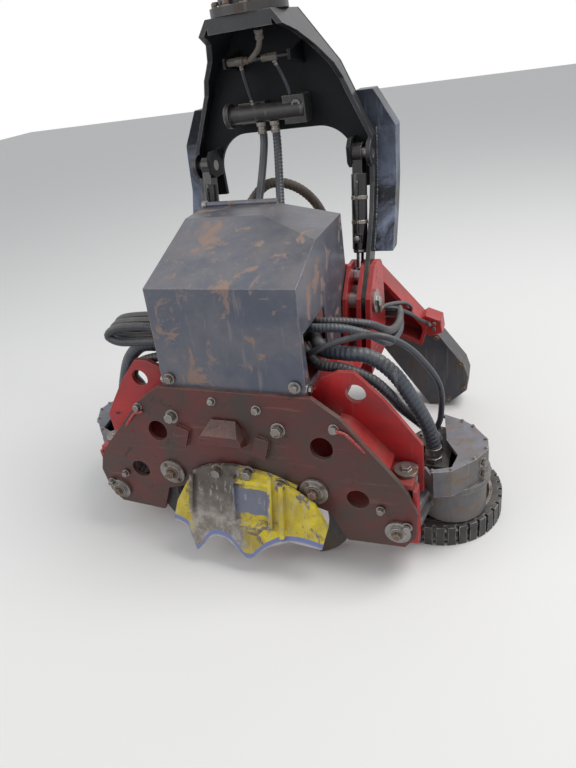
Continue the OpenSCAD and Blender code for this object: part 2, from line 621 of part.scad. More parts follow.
// hydraulic motor standing in the arm, with its port block
motor_z0 = 160;
motor_z1 = 260;
module feed_motor(s) at_origin() color([0.2, 0.2, 0.2]) side(s) {
  zcyl(motor_z0, 82, 77.5, roller_pos[0], roller_pos[1]);
  zcyl(242, motor_z1 - 242, 58, roller_pos[0], roller_pos[1]);
  translate([505, -300, 210]) cube([70, 120, motor_z1 - 210]);
}

// hoses from the valve block's side out through the cover's window and down to the feed motor
face = valve_hw + seat;
feed_hose_table = [
  [21, [[face, -140, 588], [155, -140, 588], [224, -256, 602], [300, -290, 612], [370, -290, 604],
    [430, -288, 556], [475, -285, 480], [515, -280, 390], [530, -270, 310], [530, -270, motor_z1 + seat]]],
  [15, [[face, -215, 582], [150, -215, 582], [224, -312, 587], [300, -330, 588], [375, -326, 558], [418, -310, 505],
    [440, -262, 430], [495, -228, 350], [533, -222, 305], [533, -222, motor_z1 + seat]]],
  [9, [[face, -264, 580], [158, -264, 580], [224, -345, 640], [300, -345, 675], [380, -330, 690], [440, -310, 670],
    [490, -260, 600], [540, -210, 480], [540, -190, 360], [522, -186, 300], [522, -186, motor_z1 + seat]]]];
// the left motor's drain hose runs inside its guard, so only the right one loops over the wing
module feed_hoses(s) at_origin() color([0.1, 0.1, 0.11]) side(s)
  hoses([for (i = [0:(s > 0 ? 2 : 1)]) feed_hose_table[i]]);

// hoses from the valve block round the right fork to the saw motor
hose_clear = 84.5;
right_table = [for (i = [0, 1]) [12, [[face, -244 + 40 * i, 662], [150, -244 + 40 * i, 662],
  [224, -302 + 40 * i, 692], [300, -296 + 40 * i, 690], [365 - 4 * i, -260 + 30 * i, 655 + 16 * i],
  [fork_out + hose_clear + 3, -190 + 20 * i, 600 + 26 * i], [fork_out + hose_clear, -80 + 20 * i, 548 + 28 * i],
  [fork_out + hose_clear - 7, 60, 520 + 30 * i], [345, 180, 510 + 30 * i],
  [270 - 16 * i, 245, 480 + 24 * i], [215 - 28 * i, 290, 459 + 22 * i], [215 - 28 * i, 320 - seat, 459 + 22 * i]]]];
module hoses_right() at_origin() color([0.08, 0.08, 0.09]) hoses(right_table);

// hoses that leave the left window in a loop and come back in under it
left_table = [for (i = [0:2]) let (y = -342 + 40 * i, y1 = y + 58) [13, [[-face, y1, 662], [-150, y1, 662],
  [-224, y, 696], [-320, y - 4, 700], [-400 - 10 * i, y - 4, 690], [-436 - 10 * i, y - 4, 664],
  [-400 - 10 * i, y - 4, 646], [-320, y - 4, 650], [-224, y, 654], [-150, y1, 630], [-face, y1, 630]]]];
module hoses_left() at_origin() color([0.08, 0.08, 0.09]) hoses(left_table);

// feed roller: dished rim with a web and hub, and a lugged tread round it
rim_r = 166;
lug_w = 24;
module roller_rim(s) at_origin() color([0.45, 0.45, 0.46]) side(s)
  translate([roller_pos[0], roller_pos[1], 0]) difference() {
    cylinder(r = rim_r, h = roller_h);
    difference() {
      translate([0, 0, 34]) cylinder(r1 = rim_r - 26, r2 = rim_r - 8, h = roller_h - 33);
      cylinder(r = 62, h = roller_h - 8);
    }
    translate([0, 0, -1]) cylinder(r = shaft_r + fit, h = roller_h + 2);
    for (i = [0:5]) rotate([0, 0, 30 + i * 60]) translate([100, 0, -1]) cylinder(r = 24, h = 50);
  }

module roller_tread(s) at_origin() color([0.07, 0.07, 0.07]) side(s)
  translate([roller_pos[0], roller_pos[1], 0]) difference() {
    union() {
      cylinder(r = roller_r - 12, h = roller_h);
      for (i = [0:lug_count - 1]) rotate([0, 0, i * 360 / lug_count])
        translate([roller_r - 20, -lug_w / 2, 0]) cube([20, lug_w, roller_h]);
    }
    translate([0, 0, -1]) cylinder(r = rim_r, h = roller_h + 2);
  }

// rotator with the link lugs that hang on the crane
module rotator() at_origin() color([0.15, 0.15, 0.16]) translate([0, 100, hood_z]) difference() {
  union() {
    cylinder(r = 108, h = 22);
    cylinder(r = rotator_r, h = 110);
    translate([0, 0, 110]) cylinder(r = rotator_r - 12, h = 20);
    translate([0, 0, 130]) cylinder(r = rotator_r + 6, h = 40);
    for (x = [-70, 42]) {
      translate([x, -45, 165]) cube([28, 90, 65]);
      xcyl(x, 28, 45, 0, 230);
    }
  }
  xcyl(-80, 160, crane_bore_r, 0, 235);
}

main_frame();
frame_deck();
wear_strips();
front_plate();
front_pins();
wing_plate(-1);  // wing_plate_left
wing_plate(1);  // wing_plate_right
arm_pins();
hose_cover();
fixed_knife();
tilt_fork(-1);  // tilt_fork_left
tilt_fork(1);  // tilt_fork_right
tilt_pivot_pins();
saw_box();
saw_bracket();
saw_motor();
valve_block();
hoses_left();
hoses_right();
tilt_hood();
tilt_back_plate();
tilt_eye_pins();
tilt_leg(-1);  // tilt_leg_left
tilt_leg(1);  // tilt_leg_right
hood_cross_tube();
arch_hoses();
top_hoses();
tilt_barrel(-1);  // tilt_barrel_left
tilt_barrel(1);  // tilt_barrel_right
tilt_rod(-1);  // tilt_rod_left
tilt_rod(1);  // tilt_rod_right
knife(-1);  // knife_left
knife(1);  // knife_right
feed_arm(-1);  // feed_arm_left
feed_arm(1);  // feed_arm_right
feed_motor(-1);  // feed_motor_left
feed_motor(1);  // feed_motor_right
feed_hoses(-1);  // feed_hoses_left
feed_hoses(1);  // feed_hoses_right
roller_rim(-1);  // roller_rim_left
roller_rim(1);  // roller_rim_right
roller_tread(-1);  // roller_tread_left
roller_tread(1);  // roller_tread_right
measuring_cheeks();
measuring_arm();
measuring_wheel();
saw_bar();
rotator();
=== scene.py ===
import bpy
import bmesh
import math
from mathutils import Matrix, Vector


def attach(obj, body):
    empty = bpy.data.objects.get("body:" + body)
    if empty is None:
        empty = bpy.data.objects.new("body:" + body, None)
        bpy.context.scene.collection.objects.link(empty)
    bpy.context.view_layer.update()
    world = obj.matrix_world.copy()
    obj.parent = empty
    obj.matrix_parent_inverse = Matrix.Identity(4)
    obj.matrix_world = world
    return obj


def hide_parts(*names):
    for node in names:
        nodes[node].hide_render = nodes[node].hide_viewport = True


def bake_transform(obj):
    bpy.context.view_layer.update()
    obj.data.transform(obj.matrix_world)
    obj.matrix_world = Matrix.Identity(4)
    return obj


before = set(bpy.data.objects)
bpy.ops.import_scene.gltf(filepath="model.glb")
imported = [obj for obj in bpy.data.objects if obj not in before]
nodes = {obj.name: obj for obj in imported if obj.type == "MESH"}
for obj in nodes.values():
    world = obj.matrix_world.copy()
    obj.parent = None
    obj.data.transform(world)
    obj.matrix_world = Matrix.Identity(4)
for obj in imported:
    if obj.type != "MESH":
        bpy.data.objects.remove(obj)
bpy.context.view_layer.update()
scene = bpy.context.scene
print("frame loaded:", len(nodes), "nodes")


# places shared by several pieces, in millimetres: y is measured from the tilt pivot, as in the part's source
headShift = 41.8          # from there to the frame's own y
rollerAxis = (524, -161)  # x, y
rotatorAxis = (0, 100)    # x, y
ahead, behind, above = (0, -1, 0), (0, 1, 0), (0, 0, 1)
bothSides = (("left", -1), ("right", 1))


def at(x, y, z):
    # to metres in the frame
    return Vector((x, y + headShift, z)) / 1000


def around(centre, radius, angles):
    # spots on a circle, each with its way outwards
    for a in angles:
        out = math.cos(a), math.sin(a)
        yield centre[0] + radius * out[0], centre[1] + radius * out[1], out


def turned(*degrees):
    return [math.radians(d) for d in degrees]


# angles in degrees, and the lens in millimetres
camera = {
    "lens": 27.05,
    "yaw": 25.3,
    "pitch": 30.3,
    "roll": -9.4,
    "place": (743, -1619, 1358),
}


def makeCamera(values):
    yaw, pitch, roll = (math.radians(values[k]) for k in ("yaw", "pitch", "roll"))
    look = Vector((-math.sin(yaw) * math.cos(pitch), math.cos(yaw) * math.cos(pitch), -math.sin(pitch)))
    right = Vector((math.cos(yaw), math.sin(yaw), 0))
    up = right.cross(look)
    rolledRight = math.cos(roll) * right + math.sin(roll) * up
    rolledUp = -math.sin(roll) * right + math.cos(roll) * up
    turn = Matrix((rolledRight, rolledUp, -look)).transposed().to_4x4()
    data = bpy.data.cameras.new("photoCamera")
    data.lens = values["lens"]
    data.sensor_width = 36
    data.clip_start = 0.02
    obj = bpy.data.objects.new("photoCamera", data)
    obj.matrix_world = Matrix.Translation(at(*values["place"])) @ turn
    scene.collection.objects.link(obj)
    scene.camera = obj


makeCamera(camera)
print("camera")


class Net:
    # short way to write a material's node tree
    def __init__(self, name):
        self.material = bpy.data.materials.new(name)
        self.material.use_nodes = True
        self.tree = self.material.node_tree
        self.shader = self.tree.nodes["Principled BSDF"]
        self.coords = self.add("ShaderNodeTexCoord").outputs["Object"]

    def add(self, kind, inputs=None, **settings):
        node = self.tree.nodes.new(kind)
        for key, value in settings.items():
            setattr(node, key, value)
        for key, value in (inputs or {}).items():
            self.put(node.inputs[key], value)
        return node

    def put(self, socket, value):
        if isinstance(value, bpy.types.NodeSocket):
            self.tree.links.new(value, socket)
        elif socket.type == "RGBA":
            socket.default_value = (*value, 1)
        else:
            socket.default_value = value

    def stretch(self, scale):
        return self.add("ShaderNodeMapping", {"Vector": self.coords, "Scale": scale}).outputs[0]

    def noise(self, scale, detail=5, rough=0.6, twist=0.0, vector=None):
        return self.add("ShaderNodeTexNoise", {"Vector": vector or self.coords, "Scale": scale,
                        "Detail": detail, "Roughness": rough, "Distortion": twist}).outputs["Fac"]

    def step(self, value, low, high):
        # 0 at low, 1 at high, also where low is the larger of the two
        return self.add("ShaderNodeMapRange", {"Value": value, "From Min": low, "From Max": high}).outputs[0]

    def maths(self, how, a, b=0.0):
        node = self.add("ShaderNodeMath", operation=how, use_clamp=how == "ADD")
        self.put(node.inputs[0], a)
        self.put(node.inputs[1], b)
        return node.outputs[0]

    def mix(self, share, a, b):
        node = self.add("ShaderNodeMix", data_type="RGBA")
        self.put(node.inputs[0], share)
        self.put(node.inputs[6], a)
        self.put(node.inputs[7], b)
        return node.outputs[2]

    def axis(self, number):
        return self.add("ShaderNodeSeparateXYZ", {"Vector": self.coords}).outputs[number]

    def edges(self, radius):
        # 0 on flat faces, towards 1 on edges
        worn = self.add("ShaderNodeBevel", {"Radius": radius}, samples=4).outputs[0]
        flat = self.add("ShaderNodeNewGeometry").outputs["Normal"]
        dot = self.add("ShaderNodeVectorMath", {0: worn, 1: flat}, operation="DOT_PRODUCT").outputs["Value"]
        return self.step(dot, 0.985, 0.80)

    def upward(self):
        normal = self.add("ShaderNodeNewGeometry").outputs["Normal"]
        return self.add("ShaderNodeSeparateXYZ", {"Vector": normal}).outputs[2]


def surface(name, v):
    net = Net(name)
    # two paint colours in soft patches, with fine streaks of wear
    colour = net.mix(net.step(net.noise(v["patch"], 6, 0.65, 0.4), 0.38, 0.62), v["colour"], v["second"])
    streak = net.step(net.noise(1.0, 4, 0.6, vector=net.stretch(v["streakScale"])), 0.60, 0.72)
    colour = net.mix(net.maths("MULTIPLY", streak, v["streak"]), colour, v["streakColour"])
    # chips down to the metal, and rubbed edges with gaps in the rubbing
    chips = net.step(net.noise(v["chipScale"], 8, 0.7, 0.8), v["chipFrom"], v["chipFrom"] + 0.04)
    colour = net.mix(chips, colour, v["chipColour"])
    rim = net.maths("MULTIPLY", net.edges(v["edgeWidth"]), net.step(net.noise(38, 4), 0.36, 0.58))
    rim = net.maths("MULTIPLY", rim, v["edge"])
    colour = net.mix(rim, colour, v["edgeColour"])
    # dust settles on what faces up, mud clings low down; on the legs this low mask carries pale blue painted sky sheen
    # instead of mud
    settled = net.maths("MULTIPLY", net.step(net.upward(), 0.2, 0.95), net.step(net.noise(9, 6, 0.7), 0.36, 0.62))
    dust = net.maths("MULTIPLY", settled, v["dust"])
    colour = net.mix(dust, colour, v["dustColour"])
    low = net.step(net.axis(2), v["mudAndSheenTop"], 0.05)
    mudAndSheen = net.maths("MULTIPLY", net.step(net.noise(6, 8, 0.72, 0.5), 0.44, 0.60), low)
    mudAndSheen = net.maths("MULTIPLY", mudAndSheen, v["mudAndSheen"])
    colour = net.mix(mudAndSheen, colour, v["mudAndSheenColour"])
    net.put(net.shader.inputs["Base Color"], colour)
    # chips, mud (on the legs the painted sheen) and dust are dull
    dull = net.maths("ADD", net.maths("ADD", chips, mudAndSheen), dust)
    net.put(net.shader.inputs["Roughness"],
            net.add("ShaderNodeMapRange", {"Value": dull, "To Min": v["rough"], "To Max": v["dullRough"]}).outputs[0])
    net.shader.inputs["Metallic"].default_value = v["metal"]
    net.shader.inputs["Specular IOR Level"].default_value = v["shine"]
    # softened edges, dents of the size of a hand, then chips, grain and clods; the clods' bumps also lie under the
    # legs' painted sheen
    soft = net.add("ShaderNodeBevel", {"Radius": v["soften"]}, samples=4).outputs[0]
    dents = net.add("ShaderNodeBump", {"Height": net.noise(v["dentScale"], 2, 0.4, 0.6), "Strength": v["dent"],
                                       "Distance": 0.02, "Normal": soft}).outputs[0]
    grain = net.maths("ADD", net.maths("MULTIPLY", net.noise(v["grain"], 6, 0.65), 0.35),
                      net.maths("MULTIPLY", chips, -0.25))
    grain = net.maths("ADD", grain, net.maths("MULTIPLY", mudAndSheen, 0.5))
    bump = net.add("ShaderNodeBump", {"Height": grain, "Strength": v["bump"], "Distance": 0.002, "Normal": dents})
    net.put(net.shader.inputs["Normal"], bump.outputs[0])
    return net


# what a finish has where it says nothing else; scales are per metre, widths in metres
plain = {
    "colour": (0.3, 0.3, 0.3), "second": (0.25, 0.25, 0.25), "patch": 6,
    "streak": 0.35, "streakScale": (60, 60, 3), "streakColour": (0.34, 0.30, 0.27),
    "chipScale": 14, "chipFrom": 0.66, "chipColour": (0.12, 0.06, 0.04),
    "edge": 0.7, "edgeWidth": 0.004, "edgeColour": (0.42, 0.38, 0.36),
    "dust": 0.30, "dustColour": (0.27, 0.23, 0.185),
    "mudAndSheen": 0.6, "mudAndSheenTop": 0.40, "mudAndSheenColour": (0.105, 0.075, 0.050),
    "rough": 0.42, "dullRough": 0.85, "metal": 0.0, "shine": 0.5,
    "soften": 0.0025, "grain": 90, "bump": 0.45, "dentScale": 5, "dent": 0.08,
}

finishes = {
    "frontRed": {"colour": (0.095, 0.017, 0.015), "second": (0.034, 0.022, 0.019), "streak": 0.45, "patch": 6,
                 "streakScale": (4, 50, 50), "streakColour": (0.23, 0.12, 0.10), "chipFrom": 0.60,
                 "chipColour": (0.050, 0.032, 0.025), "edge": 0.95, "edgeColour": (0.30, 0.11, 0.09), "dust": 0.3,
                 "mudAndSheen": 0.7, "mudAndSheenTop": 0.62, "mudAndSheenColour": (0.075, 0.052, 0.036), "dent": 0.12},
    "frameRed": {"colour": (0.46, 0.014, 0.018), "second": (0.26, 0.014, 0.016), "streak": 0.3,
                 "streakColour": (0.30, 0.11, 0.09), "chipFrom": 0.63, "chipColour": (0.06, 0.03, 0.025),
                 "edge": 0.6, "edgeColour": (0.42, 0.20, 0.17)},
    "hoodBlack": {"colour": (0.007, 0.008, 0.011), "second": (0.016, 0.018, 0.023), "streak": 0.3,
                  "streakColour": (0.09, 0.09, 0.10), "chipFrom": 0.68, "chipColour": (0.07, 0.05, 0.045),
                  "edge": 1.0, "edgeColour": (0.26, 0.25, 0.26), "rough": 0.34, "dust": 0.25},
    # the hood's black paint in a darker, duller copy: painted shade inside the hood, on its back plate and the pipe's
    # brackets
    "shadedBackBlack": {"colour": (0.004, 0.0045, 0.006), "second": (0.009, 0.010, 0.012), "streak": 0.2,
                  "streakColour": (0.05, 0.05, 0.05), "chipFrom": 0.70, "chipColour": (0.05, 0.04, 0.035),
                  "edge": 0.8, "edgeColour": (0.16, 0.15, 0.14), "rough": 0.6, "dust": 0.15, "shine": 0.2},
    "pipeGrey": {"colour": (0.13, 0.12, 0.105), "second": (0.075, 0.066, 0.056), "chipFrom": 0.62,
                 "chipColour": (0.14, 0.08, 0.05), "edge": 0.8, "edgeColour": (0.30, 0.28, 0.26), "metal": 0.2,
                 "rough": 0.5},
    # the legs' lower ends are paler: pale blue painted sky sheen in patches, in the mask that holds mud in the other
    # finishes
    "legBlack": {"colour": (0.010, 0.012, 0.018), "second": (0.028, 0.033, 0.046), "streak": 0.45,
                 "streakColour": (0.15, 0.165, 0.20), "chipFrom": 0.66, "chipColour": (0.10, 0.08, 0.07),
                 "edge": 1.0, "edgeColour": (0.32, 0.33, 0.37), "rough": 0.28, "dust": 0.2, "mudAndSheen": 1.0,
                 "mudAndSheenTop": 1.20, "mudAndSheenColour": (0.62, 0.72, 1.0), "shine": 0.2},
    "coverSteel": {"colour": (0.085, 0.096, 0.130), "second": (0.135, 0.136, 0.160), "streak": 0.35,
                   "streakColour": (0.30, 0.255, 0.24), "chipScale": 10, "chipFrom": 0.565,
                   "chipColour": (0.27, 0.19, 0.16), "edge": 0.8, "edgeColour": (0.40, 0.33, 0.31), "rough": 0.33,
                   "metal": 0.3, "dent": 0.35, "dentScale": 4, "mudAndSheen": 0.3, "mudAndSheenTop": 0.75},
    "darkSteel": {"colour": (0.030, 0.031, 0.034), "second": (0.055, 0.050, 0.047), "chipFrom": 0.60,
                  "edgeColour": (0.33, 0.31, 0.30), "metal": 0.3},
    "sawPaint": {"colour": (0.050, 0.056, 0.070), "second": (0.085, 0.088, 0.100), "chipFrom": 0.59,
                 "chipColour": (0.14, 0.10, 0.08), "edge": 0.95, "edgeColour": (0.40, 0.39, 0.40), "metal": 0.35,
                 "rough": 0.35, "dent": 0.2},
    "castGrey": {"colour": (0.100, 0.102, 0.115), "second": (0.18, 0.165, 0.155), "chipFrom": 0.57,
                 "chipColour": (0.22, 0.15, 0.105), "edge": 1.0, "edgeColour": (0.48, 0.46, 0.46), "bump": 0.8,
                 "metal": 0.2, "rough": 0.5, "mudAndSheenColour": (0.15, 0.11, 0.08), "dent": 0.2, "dust": 0.6,
                 "dustColour": (0.30, 0.31, 0.38)},
    "brightSteel": {"colour": (0.28, 0.27, 0.26), "second": (0.17, 0.14, 0.12), "chipFrom": 0.58,
                    "chipColour": (0.17, 0.09, 0.05), "edgeColour": (0.6, 0.58, 0.56), "metal": 0.75, "rough": 0.33},
    "rustySteel": {"colour": (0.17, 0.12, 0.09), "second": (0.10, 0.055, 0.035), "chipFrom": 0.56,
                   "chipColour": (0.22, 0.10, 0.04), "edge": 0.9, "edgeColour": (0.46, 0.43, 0.40), "metal": 0.4,
                   "rough": 0.5},
    "chrome": {"colour": (0.62, 0.62, 0.64), "second": (0.55, 0.55, 0.57), "chipFrom": 0.9, "streak": 0.1,
               "dust": 0.1, "mudAndSheen": 0.0, "metal": 1.0, "rough": 0.12, "bump": 0.03, "edge": 0.0},
    "barrelBlack": {"colour": (0.008, 0.008, 0.010), "second": (0.014, 0.014, 0.017), "rough": 0.16, "streak": 0.12,
                    "chipFrom": 0.72, "edge": 0.5, "dust": 0.1, "mudAndSheen": 0.2, "bump": 0.12},
    "sawSteel": {"colour": (0.22, 0.22, 0.23), "second": (0.15, 0.14, 0.14), "metal": 0.7, "rough": 0.34,
                 "streakScale": (50, 50, 4)},
    "treadBlack": {"colour": (0.022, 0.022, 0.024), "second": (0.060, 0.059, 0.060), "edge": 1.0,
                   "edgeColour": (0.60, 0.60, 0.63), "metal": 0.3, "mudAndSheen": 0.25, "soften": 0.004},
    "hoseRubber": {"colour": (0.018, 0.021, 0.028), "second": (0.046, 0.052, 0.066), "edge": 0.0, "streak": 0.3,
                   "streakColour": (0.16, 0.16, 0.18), "chipFrom": 0.70, "chipColour": (0.13, 0.11, 0.10),
                   "rough": 0.34, "soften": 0.0, "dust": 0.40, "grain": 260, "dent": 0.0},
    "hoseGuard": {"colour": (0.060, 0.074, 0.096), "second": (0.030, 0.037, 0.050), "edge": 0.0,
                  "streakColour": (0.28, 0.29, 0.31), "rough": 0.38, "soften": 0.0, "dust": 0.35, "dent": 0.0},
    "hoseWrap": {"colour": (0.115, 0.088, 0.072), "second": (0.065, 0.050, 0.044), "edge": 0.0, "rough": 0.6,
                 "soften": 0.0, "dent": 0.0},
    "sleeveYellow": {"colour": (0.62, 0.52, 0.02), "second": (0.50, 0.42, 0.02), "edge": 0.0, "soften": 0.0,
                     "chipFrom": 0.75},
}
made = {}


def finish(name):
    if name not in made:
        made[name] = surface(name, {**plain, **finishes[name]}).material
    return made[name]


# yellow knife: paint left on the wings and ribs, bare left half with painted shade on its upper part, bare window
# between the ribs, ground lower edge tinted blue by a painted sky reflection
knifePaint = {
    "yellow": (0.66, 0.52, 0.012), "stain": (0.34, 0.25, 0.03),
    "bare": (0.17, 0.14, 0.12), "pale": (0.33, 0.30, 0.27), "scratch": (0.42, 0.40, 0.38),
    "wornAt": -0.075, "wornFrom": 0.150, "wornTo": 0.170, "ragged": 0.14,
    # painted shade over the bare metal's upper part, and the heights where it fades in
    "paintedShade": (0.060, 0.046, 0.036), "paintedShadeFrom": 0.17, "paintedShadeTo": 0.25,
    "window": {"x": 0.052, "z": 0.236, "halfX": 0.056, "halfZ": 0.036, "soft": 0.003, "wobble": 0.03,
               "colour": (0.14, 0.15, 0.20)},
    # the ground bevel's bare steel, tinted blue: a painted sky reflection
    "ground": (0.16, 0.185, 0.36), "groundHeight": 0.017,
    # the lower edge's waves, x and z in millimetres
    "waves": ((-224, 142), (-173, 125), (-146, 53), (-110, 90), (-77, 112), (-41, 108), (-5, 80), (29, 55),
              (60, 75), (96, 104), (164, 132), (262, 125)),
}


def makeKnifeYellow(v):
    net = surface("knifeYellow", {**plain, "colour": v["yellow"], "second": v["stain"], "patch": 9, "chipFrom": 0.58,
                                  "chipColour": v["bare"], "edge": 0.6, "dust": 0.2, "mudAndSheen": 0.15, "rough": 0.45,
                                  "streakScale": (30, 4, 8), "streak": 0.25})
    base = net.shader.inputs["Base Color"].links[0].from_socket
    # the left half is worn bare, pale below, with painted shade darkening it above
    offCentre = net.maths("ABSOLUTE", net.maths("SUBTRACT", net.axis(0), v["wornAt"]))
    ragged = net.maths("ADD", offCentre, net.maths("MULTIPLY", net.noise(17, 8, 0.75, 0.9), v["ragged"]))
    worn = net.step(ragged, v["wornTo"], v["wornFrom"])
    bare = net.mix(net.step(net.noise(26, 7, 0.7), 0.42, 0.6), v["bare"], v["pale"])
    upper = net.maths("MULTIPLY", net.step(net.axis(2), v["paintedShadeFrom"], v["paintedShadeTo"]), 0.85)
    colour = net.mix(worn, base, net.mix(upper, bare, v["paintedShade"]))
    # bare window between the ribs
    window = v["window"]
    wobble = net.maths("MULTIPLY", net.maths("SUBTRACT", net.noise(30, 6), 0.5), window["wobble"])
    inside = []
    for number, centre, half in ((0, window["x"], window["halfX"]), (2, window["z"], window["halfZ"])):
        away = net.maths("ABSOLUTE", net.maths("SUBTRACT", net.axis(number), centre))
        inside.append(net.step(net.maths("SUBTRACT", away, wobble), half + window["soft"], half))
    colour = net.mix(net.maths("MULTIPLY", *inside), colour, window["colour"])
    scratch = net.step(net.noise(1.0, 5, 0.65, vector=net.stretch((70, 70, 7))), 0.56, 0.64)
    colour = net.mix(net.maths("MULTIPLY", scratch, 0.5), colour, v["scratch"])
    # the lower edge is ground to a bevel that follows the waves, its bare steel tinted blue with a painted sky
    # reflection; the curve node works from 0 to 1
    first, last, tallest = v["waves"][0][0], v["waves"][-1][0], 200
    wave = net.add("ShaderNodeFloatCurve", {"Value": net.step(net.axis(0), first / 1000, last / 1000)})
    line = wave.mapping.curves[0]
    spots = [((x - first) / (last - first), z / tallest) for x, z in v["waves"]]
    line.points[0].location, line.points[1].location = spots[0], spots[-1]
    for spot in spots[1:-1]:
        line.points.new(*spot)
    wave.mapping.update()
    height = net.maths("SUBTRACT", net.axis(2), net.maths("MULTIPLY", wave.outputs[0], tallest / 1000))
    lowEdge = net.step(height, v["groundHeight"] + 0.002, v["groundHeight"])
    colour = net.mix(lowEdge, colour, net.mix(net.step(height, 0.006, 0.0), v["ground"], v["scratch"]))
    net.put(net.shader.inputs["Base Color"], colour)
    return net.material


made["knifeYellow"] = makeKnifeYellow(knifePaint)

nodeFinish = {
    "frontRed": ["front_plate"],
    "frameRed": ["main_frame", "frame_deck", "wing_plate_left", "wing_plate_right", "tilt_fork_left",
                 "tilt_fork_right", "saw_bracket", "measuring_arm", "measuring_cheeks"],
    "hoodBlack": ["tilt_hood"],
    "shadedBackBlack": ["tilt_back_plate"],
    # the back plate takes the shaded copy of the hood's black
    "legBlack": ["tilt_leg_left", "tilt_leg_right"],
    "coverSteel": ["hose_cover"],
    "knifeYellow": ["fixed_knife"],
    "sawPaint": ["saw_box"],
    "darkSteel": ["saw_motor", "valve_block", "hood_cross_tube", "knife_left", "knife_right",
                  "feed_motor_left", "feed_motor_right", "rotator"],
    "castGrey": ["feed_arm_left", "feed_arm_right"],
    "brightSteel": ["front_pins", "arm_pins", "tilt_pivot_pins", "tilt_eye_pins", "wear_strips", "roller_rim_left",
                    "roller_rim_right", "measuring_wheel"],
    "chrome": ["tilt_rod_left", "tilt_rod_right"],
    "barrelBlack": ["tilt_barrel_left", "tilt_barrel_right"],
    "sawSteel": ["saw_bar"],
    "treadBlack": ["roller_tread_left", "roller_tread_right"],
    "hoseRubber": ["hoses_left", "hoses_right", "arch_hoses", "top_hoses", "feed_hoses_left", "feed_hoses_right"],
}
for name, members in nodeFinish.items():
    for member in members:
        mesh = nodes[member].data
        mesh.materials.clear()
        mesh.materials.append(finish(name))
print("finishes on the frame's nodes")


def keep(name, bm, body, materials):
    bmesh.ops.recalc_face_normals(bm, faces=bm.faces)
    mesh = bpy.data.meshes.new(name)
    bm.to_mesh(mesh)
    bm.free()
    for material in materials:
        mesh.materials.append(finish(material))
    # round things shade smoothly, corners stay crisp
    for face in mesh.polygons:
        face.use_smooth = True
    mesh.set_sharp_from_angle(angle=math.radians(35))
    obj = bpy.data.objects.new(name, mesh)
    scene.collection.objects.link(obj)
    if body:
        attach(obj, body)
    return obj


def smoothRoute(points, pitch):
    # same curve as the part's source, with rings at an even spacing
    dense = []
    last = len(points) - 1
    for i in range(last):
        a, b, c, d = (points[min(max(i + k, 0), last)] for k in (-1, 0, 1, 2))
        for k in range(24):
            t = k / 24
            dense.append(0.5 * (2 * b + (c - a) * t + (2 * a - 5 * b + 4 * c - d) * t ** 2
                                + (3 * b - a - 3 * c + d) * t ** 3))
    dense.append(points[last])
    total = sum((q - p).length for p, q in zip(dense, dense[1:]))
    count = max(4, round(total / pitch))
    rings, need, run = [dense[0]], total / count, 0.0
    for p, q in zip(dense, dense[1:]):
        length = (q - p).length
        while run + length >= need * len(rings) and len(rings) < count:
            rings.append(p.lerp(q, (need * len(rings) - run) / length))
        run += length
    return rings[:count] + [dense[-1]]


def sweep(bm, points, radius, sides, material=0):
    # radius(distance, angle) gives the tube's radius there
    run, rings = 0.0, []
    last = len(points) - 1
    side = None
    for i, p in enumerate(points):
        along = (points[min(i + 1, last)] - points[max(i - 1, 0)]).normalized()
        if side is None:
            side = along.cross(Vector((0.31, 0.2, 0.93))).normalized()
        side = (side - side.dot(along) * along).normalized()
        other = along.cross(side)
        if i:
            run += (p - points[i - 1]).length
        ring = []
        for k in range(sides):
            angle = k * math.tau / sides
            r = radius(run, angle)
            ring.append(bm.verts.new(p + r * (math.cos(angle) * side + math.sin(angle) * other)))
        rings.append(ring)
    stitch(bm, rings, material)


def stitch(bm, rings, material):
    # walls between the rings, and a face to close each end
    for one, two in zip(rings, rings[1:]):
        for k in range(len(one)):
            n = (k + 1) % len(one)
            bm.faces.new((one[k], one[n], two[n], two[k])).material_index = material
    for ring in (rings[0], rings[-1]):
        bm.faces.new(ring).material_index = material


def lathe(bm, start, way, profile, sides, material=0):
    # profile holds distance and radius in millimetres along the way
    way = Vector(way).normalized()
    side = way.orthogonal().normalized()
    other = way.cross(side)
    turns = [k * math.tau / sides for k in range(sides)]
    stitch(bm, [[bm.verts.new(start + (way * run + r * (math.cos(a) * side + math.sin(a) * other)) / 1000)
                 for a in turns] for run, r in profile], material)


def slab(bm, outline, depth, chamfer, spread, material=0):
    # plate or block with chamfered rims; spread turns u, v and the depth into x, y, z
    mu, mv = (sum(p[i] for p in outline) / len(outline) for i in (0, 1))
    rings = []
    for w, inset in ((0, chamfer), (chamfer, 0), (depth - chamfer, 0), (depth, chamfer)):
        shares = [1 - inset / math.hypot(u - mu, v - mv) for u, v in outline]
        rings.append([bm.verts.new(at(*spread(mu + (u - mu) * s, mv + (v - mv) * s, w)))
                      for (u, v), s in zip(outline, shares)])
    stitch(bm, rings, material)


def collar(bm, start, way, radius, length, material):
    # swaged steel sleeve with a hexagon nut at a hose's end, in millimetres
    swage = ((0.0, 0.80), (0.02, 1.0), (0.30, 1.0), (0.33, 0.90), (0.60, 0.90), (0.63, 1.0), (0.97, 1.0), (1.0, 0.86))
    nut = ((-0.02, 0.9), (0.0, 1.12), (0.32, 1.12), (0.34, 0.9))
    for profile, sides in ((swage, 14), (nut, 6)):
        lathe(bm, start, way, [(length * s, radius * r) for s, r in profile], sides, material)


# how every hose is made: a guard is a spiral strip with a groove, a bare hose is a little slimmer
hoseMake = {"groove": 0.09, "strip": 0.72, "bare": 0.96, "pitch": 0.010, "collar": 1.1, "collarReach": 2.6,
            "longestCollar": 50, "skins": ["hoseRubber", "brightSteel", "hoseGuard", "hoseWrap", "sleeveYellow"]}


